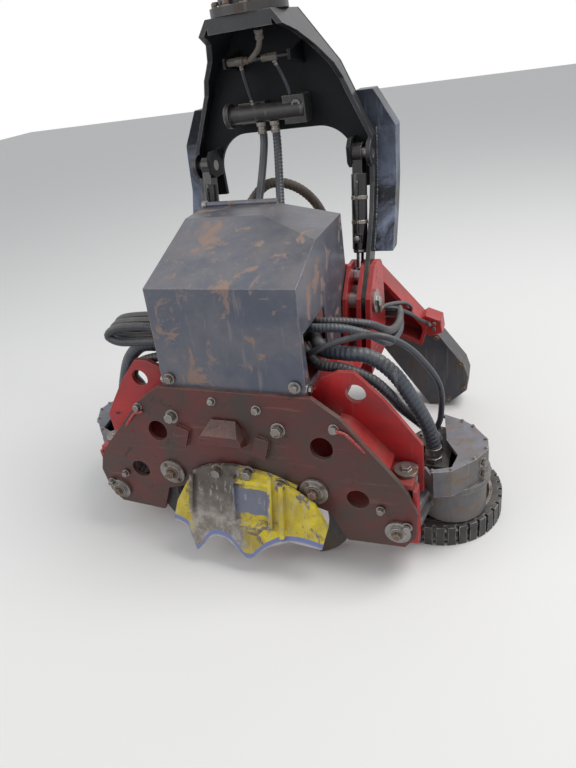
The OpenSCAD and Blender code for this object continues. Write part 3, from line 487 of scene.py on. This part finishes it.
def hoseSet(name, hoses, body, replaced):
    # a hose's guard is its spiral's pitch in millimetres, its skin the number of one of the skins above
    bm = bmesh.new()
    for h in hoses:
        points = [at(*p) for p in h["points"]]
        r = h["radius"] / 1000
        if h.get("guard"):
            turn = h["guard"] / 1000
            rings = smoothRoute(points, turn / 5)

            def size(run, angle):
                share = (run / turn - angle / math.tau) % 1.0
                return r * (1 - hoseMake["groove"] * (1 if share > hoseMake["strip"] else 0))
            sweep(bm, rings, size, 16, h["skin"])
        else:
            rings = smoothRoute(points, hoseMake["pitch"])
            sweep(bm, rings, lambda run, angle: r * hoseMake["bare"], 14, h["skin"])
        width = h["radius"] * hoseMake["collar"]
        reach = min(hoseMake["longestCollar"], hoseMake["collarReach"] * h["radius"])
        collar(bm, rings[0], points[1] - points[0], width, reach, 1)
        collar(bm, rings[-1], points[-2] - points[-1], width, reach, 1)
    obj = keep(name, bm, body, hoseMake["skins"])
    if replaced:
        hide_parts(replaced)
    return obj


# the hoses' routes, the same as in the part's source
face = 120.3   # valve block's side
port = 709.3   # valve block's ports
motor = 260.3  # feed motor's port block
deck = 549.3   # frame's top
tube = 1159.7  # underside of the cross tube
feedHoses = [
    {"radius": 21, "guard": 15, "skin": 2, "points": [
        (face, -140, 588), (155, -140, 588), (224, -256, 602), (300, -290, 612), (370, -290, 604), (430, -288, 556),
        (475, -285, 480), (515, -280, 390), (530, -270, 310), (530, -270, motor)]},
    {"radius": 15, "guard": 12, "skin": 0, "points": [
        (face, -215, 582), (150, -215, 582), (224, -312, 587), (300, -330, 588), (375, -326, 558), (418, -310, 505),
        (440, -262, 430), (495, -228, 350), (533, -222, 305), (533, -222, motor)]},
    {"radius": 9, "skin": 0, "points": [
        (face, -264, 580), (158, -264, 580), (224, -345, 640), (300, -345, 675), (380, -330, 690), (440, -310, 670),
        (490, -260, 600), (540, -210, 480), (540, -190, 360), (522, -186, 300), (522, -186, motor)]},
]


def mirrored(hose):
    return {**hose, "points": [(-x, y, z) for x, y, z in hose["points"]]}


for sideName, way, hoses in (("right", 1, feedHoses), ("left", -1, [mirrored(h) for h in feedHoses[:2]])):
    obj = hoseSet("feedHoseSet_" + sideName, hoses, None, "feed_hoses_" + sideName)
    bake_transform(obj)

rightHoses = [{"radius": 12, "guard": 10, "skin": 2 * (1 - i), "points": [
    (face, -244 + 40 * i, 662), (150, -244 + 40 * i, 662), (224, -302 + 40 * i, 692), (300, -296 + 40 * i, 690),
    (365 - 4 * i, -260 + 30 * i, 655 + 16 * i), (388, -190 + 20 * i, 600 + 26 * i),
    (385, -80 + 20 * i, 548 + 28 * i), (378, 60, 520 + 30 * i), (345, 180, 510 + 30 * i),
    (270 - 16 * i, 245, 480 + 24 * i), (215 - 28 * i, 290, 459 + 22 * i), (215 - 28 * i, 319.7, 459 + 22 * i)]}
    for i in range(2)]
hoseSet("rightHoseSet", rightHoses, "chassis", "hoses_right")

leftHoses = []
for i in range(3):
    y, yBlock, out = -342 + 40 * i, -284 + 40 * i, 10 * i
    leftHoses.append({"radius": 13, "guard": 0 if i else 9, "skin": 0, "points": [
        (-face, yBlock, 662), (-150, yBlock, 662), (-224, y, 696), (-320, y - 4, 700), (-400 - out, y - 4, 690),
        (-436 - out, y - 4, 664), (-400 - out, y - 4, 646), (-320, y - 4, 650), (-224, y, 654), (-150, yBlock, 630),
        (-face, yBlock, 630)]})
hoseSet("leftHoseSet", leftHoses, "chassis", "hoses_left")

archHoses = [
    {"radius": 16, "guard": 14, "skin": 3, "points": [
        (-90, -170, port), (-90, -170, 760), (-105, -80, 840), (-95, 50, 915), (-50, 150, 975), (30, 200, 950),
        (85, 250, 860), (95, 290, 720), (95, 295, 600), (95, 295, deck)]},
    {"radius": 15, "skin": 0, "points": [
        (0, -170, port), (0, -170, 750), (-10, -80, 820), (-10, 50, 880), (-30, 140, 900), (-60, 200, 860),
        (-75, 255, 760), (-80, 280, 640), (-80, 280, deck)]},
    {"radius": 15, "skin": 4, "points": [
        (90, -170, port), (90, -170, 750), (100, -80, 815), (95, 50, 860), (70, 140, 850), (40, 200, 800),
        (20, 250, 700), (20, 255, 620), (20, 255, deck)]},
]
hoseSet("archHoseSet", archHoses, "chassis", "arch_hoses")

topHoses = [
    {"radius": 13, "skin": 0, "points": [
        (-45, -170, port), (-45, -170, 770), (-50, -80, 860), (-50, 20, 900), (-48, 100, 990), (-45, 165, 1100),
        (-45, 165, tube)]},
    {"radius": 13, "guard": 11, "skin": 0, "points": [
        (45, -170, port), (45, -170, 770), (45, -80, 860), (35, 20, 905), (15, 100, 990), (0, 165, 1100),
        (0, 165, tube)]},
]
obj = hoseSet("topHoseSet", topHoses, None, "top_hoses")
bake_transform(obj)
print("hoses")


def tree(name, sockets):
    # an empty geometry node tree with the named inputs
    group = bpy.data.node_groups.new(name, "GeometryNodeTree")
    group.interface.new_socket("Geometry", in_out="INPUT", socket_type="NodeSocketGeometry")
    group.interface.new_socket("Geometry", in_out="OUTPUT", socket_type="NodeSocketGeometry")
    for label, kind in sockets:
        group.interface.new_socket(label, in_out="INPUT", socket_type=kind)
    return group, group.nodes.new("NodeGroupInput"), group.nodes.new("NodeGroupOutput")


def wire(group, pairs):
    for source, target in pairs:
        group.links.new(source, target)


def closeTree(group, start, end, placed):
    # plain geometry in the tree's finish
    solid = group.nodes.new("GeometryNodeRealizeInstances")
    painted = group.nodes.new("GeometryNodeSetMaterial")
    wire(group, [(placed.outputs[0], solid.inputs[0]), (solid.outputs[0], painted.inputs["Geometry"]),
                 (start.outputs["Finish"], painted.inputs["Material"]), (painted.outputs[0], end.inputs["Geometry"])])
    return group


def boltTree():
    # a hexagon head on a washer at each point, turned to the point's axis and spun by chance
    group, start, end = tree("boltHeads", [("Head Radius", "NodeSocketFloat"), ("Head Height", "NodeSocketFloat"),
                                           ("Washer Radius", "NodeSocketFloat"), ("Seed", "NodeSocketInt"),
                                           ("Finish", "NodeSocketMaterial")])
    new = group.nodes.new
    head, washer = new("GeometryNodeMeshCylinder"), new("GeometryNodeMeshCylinder")
    head.inputs["Vertices"].default_value = 6
    washer.inputs["Vertices"].default_value = 20
    washer.inputs["Depth"].default_value = 0.005
    raised = new("GeometryNodeTransform")
    offset = new("ShaderNodeCombineXYZ")
    joined, placed = new("GeometryNodeJoinGeometry"), new("GeometryNodeInstanceOnPoints")
    axis = new("GeometryNodeInputNamedAttribute")
    axis.data_type = "FLOAT_VECTOR"
    axis.inputs["Name"].default_value = "axis"
    facing, spun = new("FunctionNodeAlignRotationToVector"), new("FunctionNodeRotateRotation")
    chance = new("FunctionNodeRandomValue")
    spun.rotation_space = "LOCAL"
    spin, euler = new("ShaderNodeCombineXYZ"), new("FunctionNodeEulerToRotation")
    chance.inputs["Max"].default_value = 1.05
    size = new("GeometryNodeInputNamedAttribute")
    size.data_type = "FLOAT"
    size.inputs["Name"].default_value = "size"
    floatChance = next(s for s in chance.outputs if s.type == "VALUE")
    wire(group, [
        (start.outputs["Head Radius"], head.inputs["Radius"]), (start.outputs["Head Height"], head.inputs["Depth"]),
        (start.outputs["Washer Radius"], washer.inputs["Radius"]), (head.outputs["Mesh"], raised.inputs["Geometry"]),
        (start.outputs["Head Height"], offset.inputs["Z"]), (offset.outputs[0], raised.inputs["Translation"]),
        (washer.outputs["Mesh"], joined.inputs[0]), (raised.outputs[0], joined.inputs[0]),
        (start.outputs["Geometry"], placed.inputs["Points"]), (joined.outputs[0], placed.inputs["Instance"]),
        (axis.outputs["Attribute"], facing.inputs["Vector"]), (start.outputs["Seed"], chance.inputs["Seed"]),
        (floatChance, spin.inputs["Z"]), (spin.outputs[0], euler.inputs[0]),
        (facing.outputs[0], spun.inputs["Rotation"]), (euler.outputs[0], spun.inputs["Rotate By"]),
        (spun.outputs[0], placed.inputs["Rotation"]), (size.outputs["Attribute"], placed.inputs["Scale"])])
    return closeTree(group, start, end, placed)


def beadTree():
    # beads of uneven size that overlap along a seam
    group, start, end = tree("weldBeads", [("Bead Radius", "NodeSocketFloat"), ("Spacing", "NodeSocketFloat"),
                                           ("Seed", "NodeSocketInt"), ("Finish", "NodeSocketMaterial")])
    new = group.nodes.new
    curve, even = new("GeometryNodeMeshToCurve"), new("GeometryNodeResampleCurve")
    ball = new("GeometryNodeMeshIcoSphere")
    even.mode = "LENGTH"
    ball.inputs["Subdivisions"].default_value = 2
    placed, chance = new("GeometryNodeInstanceOnPoints"), new("FunctionNodeRandomValue")
    chance.inputs[2].default_value = 0.75
    chance.inputs[3].default_value = 1.2
    floatChance = next(s for s in chance.outputs if s.type == "VALUE")
    wire(group, [
        (start.outputs["Geometry"], curve.inputs[0]), (curve.outputs[0], even.inputs["Curve"]),
        (start.outputs["Spacing"], even.inputs["Length"]), (start.outputs["Bead Radius"], ball.inputs["Radius"]),
        (even.outputs[0], placed.inputs["Points"]), (ball.outputs[0], placed.inputs["Instance"]),
        (start.outputs["Seed"], chance.inputs["Seed"]), (floatChance, placed.inputs["Scale"])])
    return closeTree(group, start, end, placed)


boltHeads, weldBeads = boltTree(), beadTree()


def grow(name, source, group, values, body):
    # runs the tree on the source mesh and keeps the plain result
    carrier = bpy.data.objects.new(name + "Source", source)
    scene.collection.objects.link(carrier)
    modifier = carrier.modifiers.new("grow", "NODES")
    modifier.node_group = group
    for socket in group.interface.items_tree:
        if socket.in_out == "INPUT" and socket.name in values:
            modifier[socket.identifier] = values[socket.name]
    graph = bpy.context.evaluated_depsgraph_get()
    mesh = bpy.data.meshes.new_from_object(carrier.evaluated_get(graph))
    carrier.modifiers.remove(modifier)
    bpy.data.objects.remove(carrier)
    mesh.name = name
    obj = bpy.data.objects.new(name, mesh)
    scene.collection.objects.link(obj)
    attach(obj, body)
    return obj


def bolts(name, spots, body, values):
    # each spot is x, y, z, the way the head faces, and its size against the values
    mesh = bpy.data.meshes.new(name)
    mesh.from_pydata([at(*s[:3]) for s in spots], [], [])
    ways = mesh.attributes.new("axis", "FLOAT_VECTOR", "POINT")
    for i, s in enumerate(spots):
        ways.data[i].vector = s[3]
    sizes = mesh.attributes.new("size", "FLOAT", "POINT")
    for i, s in enumerate(spots):
        sizes.data[i].value = s[4]
    grow(name, mesh, boltHeads, {"Head Radius": values["head"], "Head Height": values["height"],
                                 "Washer Radius": values["washer"], "Seed": values["seed"],
                                 "Finish": finish(values["finish"])}, body)


def beads(name, lines, body, values):
    # weld beads along lines of x, y, z
    points, edges = [], []
    for line in lines:
        first = len(points)
        points += [at(*p) for p in line]
        edges += [(first + i, first + i + 1) for i in range(len(line) - 1)]
    mesh = bpy.data.meshes.new(name)
    mesh.from_pydata(points, edges, [])
    grow(name, mesh, weldBeads, {"Bead Radius": values["radius"], "Spacing": values["spacing"],
                                 "Seed": values["seed"], "Finish": finish(values["finish"])}, body)


# front plate's bolts as x, z and size: upright on the lower plate, leaning back on the panel above z 300
frontBolts = {"head": 0.013, "height": 0.012, "washer": 0.018, "seed": 4, "finish": "brightSteel",
              "lean": math.radians(10), "leanFrom": (-480, 300), "lowerY": -485,
              "upper": ((-202, 461, 1.2), (139, 451, 1.2), (78, 505, 0.8), (-60, 520, 0.7), (300, 470, 0.8),
                        (-320, 480, 0.8)),
              "lower": ((420, 238, 0.7), (-420, 238, 0.7), (490, 190, 0.8), (-490, 190, 0.8))}
lean, (leanY, leanZ) = frontBolts["lean"], frontBolts["leanFrom"]
leaned = (0, -math.cos(lean), math.sin(lean))
spots = [(x, leanY + (z - leanZ) * math.tan(lean), z, leaned, s) for x, z, s in frontBolts["upper"]]
spots += [(x, frontBolts["lowerY"], z, ahead, s) for x, z, s in frontBolts["lower"]]
bolts("frontBolts", spots, "chassis", frontBolts)

knifeBolts = {"head": 0.015, "height": 0.014, "washer": 0.022, "seed": 9, "finish": "brightSteel",
              "y": -494, "places": ((-60, 312), (40, 320), (140, 290))}
bolts("knifeBolts", [(x, knifeBolts["y"], z, ahead, 1.0) for x, z in knifeBolts["places"]], "chassis", knifeBolts)

coverBolts = {"head": 0.010, "height": 0.008, "washer": 0.016, "seed": 2, "finish": "brightSteel",
              "front": (195, -424, 575), "side": (224, 560), "sideY": (-405, -180)}
(frontX, frontY, frontZ), (sideX, sideZ) = coverBolts["front"], coverBolts["side"]
coverSpots = [(way * frontX, frontY, frontZ, ahead, 1.1) for way in (-1, 1)]
coverSpots += [(way * sideX, y, sideZ, (way, 0, 0), 1.0) for way in (-1, 1) for y in coverBolts["sideY"]]
bolts("coverBolts", coverSpots, "chassis", coverBolts)

# bolts in the middle of the front pins, with the keepers' small ones round the knives' pins
pinBolts = {"head": 0.012, "height": 0.009, "washer": 0.019, "seed": 5, "finish": "rustySteel",
            "knife": (232, -492, 272), "arm": (464, -496, 165),
            "keeper": 33, "keeperY": -489, "keeperTurns": (0.6, 2.2, 3.8, 5.3)}
(knifeX, knifeY, knifeZ), (armX, armY, armZ) = pinBolts["knife"], pinBolts["arm"]
pinSpots = []
for way in (-1, 1):
    pinSpots += [(way * knifeX, knifeY, knifeZ, ahead, 1.1), (way * armX, armY, armZ, ahead, 0.9)]
    pinSpots += [(x, pinBolts["keeperY"], z, ahead, 0.42)
                 for x, z, out in around((way * knifeX, knifeZ), pinBolts["keeper"], pinBolts["keeperTurns"])]
bolts("pinBolts", pinSpots, "chassis", pinBolts)

# butt plate's bolts face the rear, the saw box's face ahead
frameBolts = {"head": 0.014, "height": 0.012, "washer": 0.021, "seed": 7, "finish": "rustySteel", "y": 407,
              "butt": ((-115, 262), (-115, 588), (115, 262), (115, 588), (-190, 310), (-190, 420), (-190, 530)),
              "sawBox": ((250, 508), (300, 448), (372, 364), (442, 310), (530, 195), (546, 90), (484, 32))}
bolts("buttBolts", [(x, frameBolts["y"], z, behind, 1.0) for x, z in frameBolts["butt"]], "chassis", frameBolts)
bolts("sawBoxBolts", [(x, frameBolts["y"], z, ahead, 0.6) for x, z in frameBolts["sawBox"]], "chassis", frameBolts)

# feed arms: bolts round the flange, on the cap's rim, on its wall and round the motor
armBolts = {"head": 0.010, "height": 0.009, "washer": 0.0155, "seed": 3, "finish": "brightSteel",
            "flange": 96, "flangeTop": 210, "flangeTurns": turned(95, 120, 145, 170, 195), "capTop": 300,
            "capEdge": ((541, -371), (590, -355), (645, -297), (673, -244), (668, -203), (627, -145), (594, -122)),
            "wall": ((665, -272, 0.88, -0.47), (652, -172, 0.81, 0.59)), "wallHeights": (232, 272),
            "motor": 46, "motorTop": 260, "motorTurns": turned(45, 90, 135, 180)}
for sideName, way in bothSides:
    spots = [(way * x, y, armBolts["flangeTop"], above, 0.8)
             for x, y, out in around(rollerAxis, armBolts["flange"], armBolts["flangeTurns"])]
    spots += [(way * x, y, armBolts["capTop"], above, 0.45) for x, y in armBolts["capEdge"]]
    spots += [(way * x, y, z, (way * nx, ny, 0), 1.0) for x, y, nx, ny in armBolts["wall"]
              for z in armBolts["wallHeights"]]
    spots += [(way * x, y, armBolts["motorTop"], above, 0.7)
              for x, y, out in around(rollerAxis, armBolts["motor"], armBolts["motorTurns"])]
    bolts("armBolts_" + sideName, spots, "feed_arm_" + sideName, armBolts)

# studs in the gaps between a roller's lugs, in two rows
studs = {"head": 0.0055, "height": 0.004, "washer": 0.008, "seed": 6, "finish": "brightSteel",
         "radius": 183.8, "turns": turned(*range(5, 360, 10)), "rows": (18, 52)}
for sideName, way in bothSides:
    spots = [(way * x, y, z, (way * out[0], out[1], 0), 1.0)
             for x, y, out in around(rollerAxis, studs["radius"], studs["turns"]) for z in studs["rows"]]
    bolts("rollerStuds_" + sideName, spots, "roller_" + sideName, studs)

rotatorBolts = {"head": 0.010, "height": 0.010, "washer": 0.0125, "seed": 8, "finish": "rustySteel",
                "radius": 95, "turns": turned(*range(15, 360, 30)), "top": 1462}
spots = [(x, y, rotatorBolts["top"], above, 0.9)
         for x, y, out in around(rotatorAxis, rotatorBolts["radius"], rotatorBolts["turns"])]
bolts("rotatorBolts", spots, "rotator", rotatorBolts)

# welds at the forks' feet, round the butt plate, on the wings and along the legs
welds = {"radius": 0.0042, "spacing": 0.0044, "seed": 1, "finish": "frameRed", "slot": "red_paint",
         "forks": (226, 318, 299, 287, 270), "forkEnds": ((-86, 492), (118, 492)),
         "butt": [[(-152, 393, 232), (-152, 393, 548)], [(152, 393, 232), (152, 393, 548)],
                  [(-148, 393, 551), (148, 393, 551)]],
         "wing": ((304, -457, 470), (332, -457, 464), (441, -457, 345)),
         "leg": ((301, 98, 768), (301, 150, 855), (301, 196, 962), (301, 211, 1065), (301, 219, 1104))}
redLines = [[(way * x, *end) for end in welds["forkEnds"]] for way in (-1, 1) for x in welds["forks"]]
redLines += welds["butt"] + [[(way * x, y, z) for x, y, z in welds["wing"]] for way in (-1, 1)]
beads("redWelds", redLines, "chassis", welds)
beads("legWelds", [[(way * x, y, z) for x, y, z in welds["leg"]] for way in (-1, 1)], "tilt_frame",
      {**welds, "finish": "hoodBlack", "slot": "black_paint"})
print("bolts, studs and welds")


# pipe under the hood: its height and depth, its fittings as start, length, sides and radius, and its bent stub
pipe = {
    "place": (106, 1330), "start": -98, "profile": [(0, 6), (2, 7), (194, 7), (196, 6)],
    "fittings": ((-96, 26, 6, 11), (-70, 26, 16, 12), (-44, 14, 6, 10), (12, 18, 16, 10), (30, 30, 6, 11)),
    "stub": ((-24, 106, 1330), (-10, 98, 1337), (14, 87, 1354), (28, 75, 1378), (32, 66, 1401)),
    "stubRadius": 0.008, "collar": (12, 26), "brackets": (-104, 96), "bracketThick": 8,
    "bracket": [(212, 1300), (212, 1358), (150, 1348), (112, 1346), (90, 1342), (90, 1317), (112, 1314), (150, 1310)],
}
bm = bmesh.new()
lathe(bm, at(pipe["start"], *pipe["place"]), (1, 0, 0), pipe["profile"], 16, 0)
for x, length, sides, r in pipe["fittings"]:
    lathe(bm, at(x, *pipe["place"]), (1, 0, 0), [(0, r - 2), (2, r), (length - 2, r), (length, r - 2)], sides, 1)
stub = [at(*p) for p in pipe["stub"]]
sweep(bm, smoothRoute(stub, 0.008), lambda run, angle: pipe["stubRadius"], 14, 1)
collar(bm, stub[-1], stub[-2] - stub[-1], *pipe["collar"], 1)
for x in pipe["brackets"]:
    slab(bm, pipe["bracket"], pipe["bracketThick"], 1.5, lambda u, v, w, x=x: (x + w, u, v), 2)
keep("hoodPipe", bm, "tilt_frame", ["barrelBlack", "pipeGrey", "shadedBackBlack"])

hoseSet("hoodLines", [
    {"radius": 6, "skin": 0, "points": [(-58, 112, 1322), (-62, 130, 1292), (-64, 150, 1250), (-62, 165, 1210)]},
    {"radius": 6, "skin": 0, "points": [(46, 112, 1322), (54, 132, 1290), (62, 152, 1248), (64, 165, 1210)]},
], "tilt_frame", None)

# flanged disc with a bolt on the cross tube's left end, and the ring in its block; profiles are run and radius
tubeEnd = {"place": (-150, 165, 1185), "disc": [(0, 33), (3, 35), (6, 32), (6, 17), (1, 15)],
           "bolt": [(0, 9), (3, 9), (4, 7)],
           "ringPlace": (82, 150, 1199), "ring": [(0, 13), (2, 14), (6, 13), (6, 8), (2, 7)]}
bm = bmesh.new()
lathe(bm, at(*tubeEnd["place"]), (-1, 0, 0), tubeEnd["disc"], 32, 0)
lathe(bm, at(*tubeEnd["place"]), (-1, 0, 0), tubeEnd["bolt"], 6, 1)
lathe(bm, at(*tubeEnd["ringPlace"]), ahead, tubeEnd["ring"], 24, 0)
keep("tubeEnds", bm, "tilt_frame", ["castGrey", "rustySteel"])

# tilt cylinders: thin line, clamps with their screws, gland and port, by their distance from the lower eye
cylinder = {
    "eye": (256, 80, 690), "along": (0.23286, 0.97251),
    "line": ((131, 31), (150, 35), (265, 35), (283, 29), (292, 20)), "lineRadius": 0.005,
    "clamps": (160, 232), "clamp": [(0, 24.2), (1, 25.6), (11, 25.6), (12, 24.2)],
    "screwAt": (6, 24), "screw": [(0, 5), (14, 5), (16, 3.5)],
    "glandAt": (74, 0), "gland": [(0, 19), (2, 22.6), (9, 22.6), (11, 20)],
    "portAt": (118, 35), "port": [(0, 8), (2, 9.5), (8, 9.5), (9, 7), (16, 7), (17, 5)],
}
screwRun, screwOff = cylinder["screwAt"]


def alongCylinder(way, run, off):
    # a spot by its distance from the lower eye and ahead of the axis
    (x, y, z), (dy, dz) = cylinder["eye"], cylinder["along"]
    return (way * x, y + dy * run - dz * off, z + dz * run + dy * off)


for sideName, way in bothSides:
    bm = bmesh.new()
    axis = (0, *cylinder["along"])
    line = [at(*alongCylinder(way, run, off)) for run, off in cylinder["line"]]
    sweep(bm, smoothRoute(line, 0.006), lambda run, angle: cylinder["lineRadius"], 10, 1)
    for run in cylinder["clamps"]:
        lathe(bm, at(*alongCylinder(way, run, 0)), axis, cylinder["clamp"], 32, 2)
        lathe(bm, at(*alongCylinder(way, run + screwRun, screwOff)), (0, -1, 0.24), cylinder["screw"], 6, 2)
    lathe(bm, at(*alongCylinder(way, *cylinder["glandAt"])), axis, cylinder["gland"], 8, 2)
    lathe(bm, at(*alongCylinder(way, *cylinder["portAt"])), (0, -0.97, 0.23), cylinder["port"], 6, 2)
    keep("cylinderLine_" + sideName, bm, "tilt_barrel_" + sideName,
         ["barrelBlack", "barrelBlack", "brightSteel"])

rotatorPorts = {"turns": turned(35, 145, 215, 325), "radius": 80, "height": 1508,
                "port": [(0, 16), (8, 16), (9, 12), (20, 12), (22, 9)]}
bm = bmesh.new()
for x, y, out in around(rotatorAxis, rotatorPorts["radius"], rotatorPorts["turns"]):
    lathe(bm, at(x, y, rotatorPorts["height"]), (*out, 0), rotatorPorts["port"], 6)
keep("rotatorPorts", bm, "rotator", ["rustySteel"])
print("tilt frame's lines")

# thin lines from the right fork to the saw
hoseSet("sawLines", [
    {"radius": 6.5, "skin": 0, "points": [(325, 22, 604), (342, 90, 588), (362, 200, 545), (374, 262, 505),
                                          (366, 296, 470), (330, 330, 450), (290, 384, 440)]},
    {"radius": 6.5, "skin": 0, "points": [(325, 36, 602), (350, 110, 566), (384, 200, 505), (408, 262, 452),
                                          (426, 305, 420), (432, 318, 406)]},
], "chassis", None)

# fitting block on the right fork, end block on the saw bracket's tip, knob on the end of the cover's rear rod
blocks = {
    "fitting": [(8, 596), (48, 594), (50, 622), (34, 634), (10, 630)], "fittingX": 316.5, "fittingThick": 16,
    "end": [(398, 430), (418, 444), (470, 424), (476, 374), (432, 358), (400, 376)], "endY": 318, "endThick": 74,
    "endBolts": ((446, 390), (446, 410)), "endBolt": [(0, 8), (5, 8), (6, 6)],
    "knobPlace": (-212, 26, 952), "knob": [(0, 10), (1, 13), (12, 14), (16, 11)],
}
bm = bmesh.new()
slab(bm, blocks["fitting"], blocks["fittingThick"], 2, lambda u, v, w: (blocks["fittingX"] + w, u, v), 0)
slab(bm, blocks["end"], blocks["endThick"], 4, lambda u, v, w: (u, blocks["endY"] + w, v), 1)
for x, z in blocks["endBolts"]:
    lathe(bm, at(x, blocks["endY"], z), ahead, blocks["endBolt"], 6, 0)
lathe(bm, at(*blocks["knobPlace"]), (-1, 0, 0), blocks["knob"], 20, 2)
keep("sideBlocks", bm, "chassis", ["rustySteel", "frameRed", "brightSteel"])

# valve block under the cover: spool caps ahead, solenoids on top
valve = {"columns": (-96, -58, -20, 20, 58, 96), "capPlace": (-300, 600), "solenoidPlace": (-270, 679),
         "cap": [(0, 15), (22, 15), (23, 11), (40, 11), (42, 9)],
         "solenoid": [(0, 12), (3, 14), (34, 14), (36, 10), (42, 10), (44, 7)]}
bm = bmesh.new()
for x in valve["columns"]:
    lathe(bm, at(x, *valve["capPlace"]), ahead, valve["cap"], 16, 0)
    lathe(bm, at(x, *valve["solenoidPlace"]), above, valve["solenoid"], 12, 1)
keep("valveParts", bm, "chassis", ["rustySteel", "darkSteel"])
print("small lines and blocks")


def chainTree():
    # a link at each pitch along the loop
    group, start, end = tree("sawChain", [("Pitch", "NodeSocketFloat"), ("Link", "NodeSocketVector"),
                                          ("Finish", "NodeSocketMaterial")])
    new = group.nodes.new
    curve, even = new("GeometryNodeMeshToCurve"), new("GeometryNodeCurveToPoints")
    placed, link = new("GeometryNodeInstanceOnPoints"), new("GeometryNodeMeshCube")
    even.mode = "LENGTH"
    wire(group, [
        (start.outputs["Geometry"], curve.inputs[0]), (curve.outputs[0], even.inputs["Curve"]),
        (start.outputs["Pitch"], even.inputs["Length"]), (start.outputs["Link"], link.inputs["Size"]),
        (even.outputs["Points"], placed.inputs["Points"]), (link.outputs["Mesh"], placed.inputs["Instance"]),
        (even.outputs["Rotation"], placed.inputs["Rotation"])])
    return closeTree(group, start, end, placed)


# the chain's loop is two half circles on the bar, which points down from its pivot; pitch and link in metres
chain = {"pitch": 0.017, "link": (0.010, 0.009, 0.013), "pivot": (200, 450, 470), "angle": math.radians(-47.4),
         "length": 417, "radius": 40}
pivotX, pivotY, pivotZ = chain["pivot"]
barCos, barSin = math.cos(chain["angle"]), math.sin(chain["angle"])
points = []
for centre, first in ((0, 90), (chain["length"], -90)):
    for u, v, out in around((centre, 0), chain["radius"], turned(*range(first, first + 181, 15))):
        points.append((pivotX + u * barCos - v * barSin, pivotY, pivotZ + u * barSin + v * barCos))
mesh = bpy.data.meshes.new("sawChain")
mesh.from_pydata([at(*p) for p in points], [(i, (i + 1) % len(points)) for i in range(len(points))], [])
grow("sawChain", mesh, chainTree(), {"Pitch": chain["pitch"], "Link": chain["link"], "Finish": finish("rustySteel")},
     "saw_bar")
print("saw chain")


# floor, light and background; each lamp has a name, place, power and size, and is turned to one spot in the head
stage = {
    "floor": (0.80, 0.79, 0.77), "floorSize": 30, "sky": (0.93, 0.96, 1), "world": 0.55, "lookAt": (0, 0, 0.6),
    "lamps": (("keyLamp", (2.2, 0.6, 4.2), 128, 2.2), ("fillLamp", (-2.6, -2.6, 2.6), 42, 3.0)),
}


def makeStage(v):
    bpy.ops.mesh.primitive_plane_add(size=v["floorSize"], location=(0, 0, -0.001))
    floor = bpy.context.object
    floor.name = "studioFloor"
    net = Net("floorPale")
    net.put(net.shader.inputs["Base Color"], net.mix(net.noise(2.0), v["floor"], tuple(c * 0.985 for c in v["floor"])))
    net.shader.inputs["Roughness"].default_value = 0.9
    floor.data.materials.append(net.material)
    world = bpy.data.worlds.new("studio")
    scene.world = world
    world.use_nodes = True
    new = world.node_tree.nodes.new
    back = world.node_tree.nodes["Background"]
    back.inputs["Color"].default_value = (*v["sky"], 1)
    back.inputs["Strength"].default_value = v["world"]
    # the camera, metal and glass see plain white
    white = new("ShaderNodeBackground")
    white.inputs["Color"].default_value = (1, 1, 1, 1)
    rays, mixed = new("ShaderNodeLightPath"), new("ShaderNodeMixShader")
    first, second = new("ShaderNodeMath"), new("ShaderNodeMath")
    first.operation = second.operation = "MAXIMUM"
    wire(world.node_tree, [
        (rays.outputs["Is Camera Ray"], first.inputs[0]), (rays.outputs["Is Glossy Ray"], first.inputs[1]),
        (first.outputs[0], second.inputs[0]), (rays.outputs["Is Transmission Ray"], second.inputs[1]),
        (second.outputs[0], mixed.inputs["Fac"]), (back.outputs[0], mixed.inputs[1]),
        (white.outputs[0], mixed.inputs[2]),
        (mixed.outputs[0], world.node_tree.nodes["World Output"].inputs["Surface"])])
    for name, place, power, size in v["lamps"]:
        lamp = bpy.data.lights.new(name, "AREA")
        lamp.energy = power
        lamp.size = size
        obj = bpy.data.objects.new(name, lamp)
        obj.location = place
        obj.rotation_euler = (Vector(v["lookAt"]) - Vector(place)).to_track_quat("-Z", "Y").to_euler()
        scene.collection.objects.link(obj)
    scene.view_settings.view_transform = "Standard"


makeStage(stage)
print("stage")
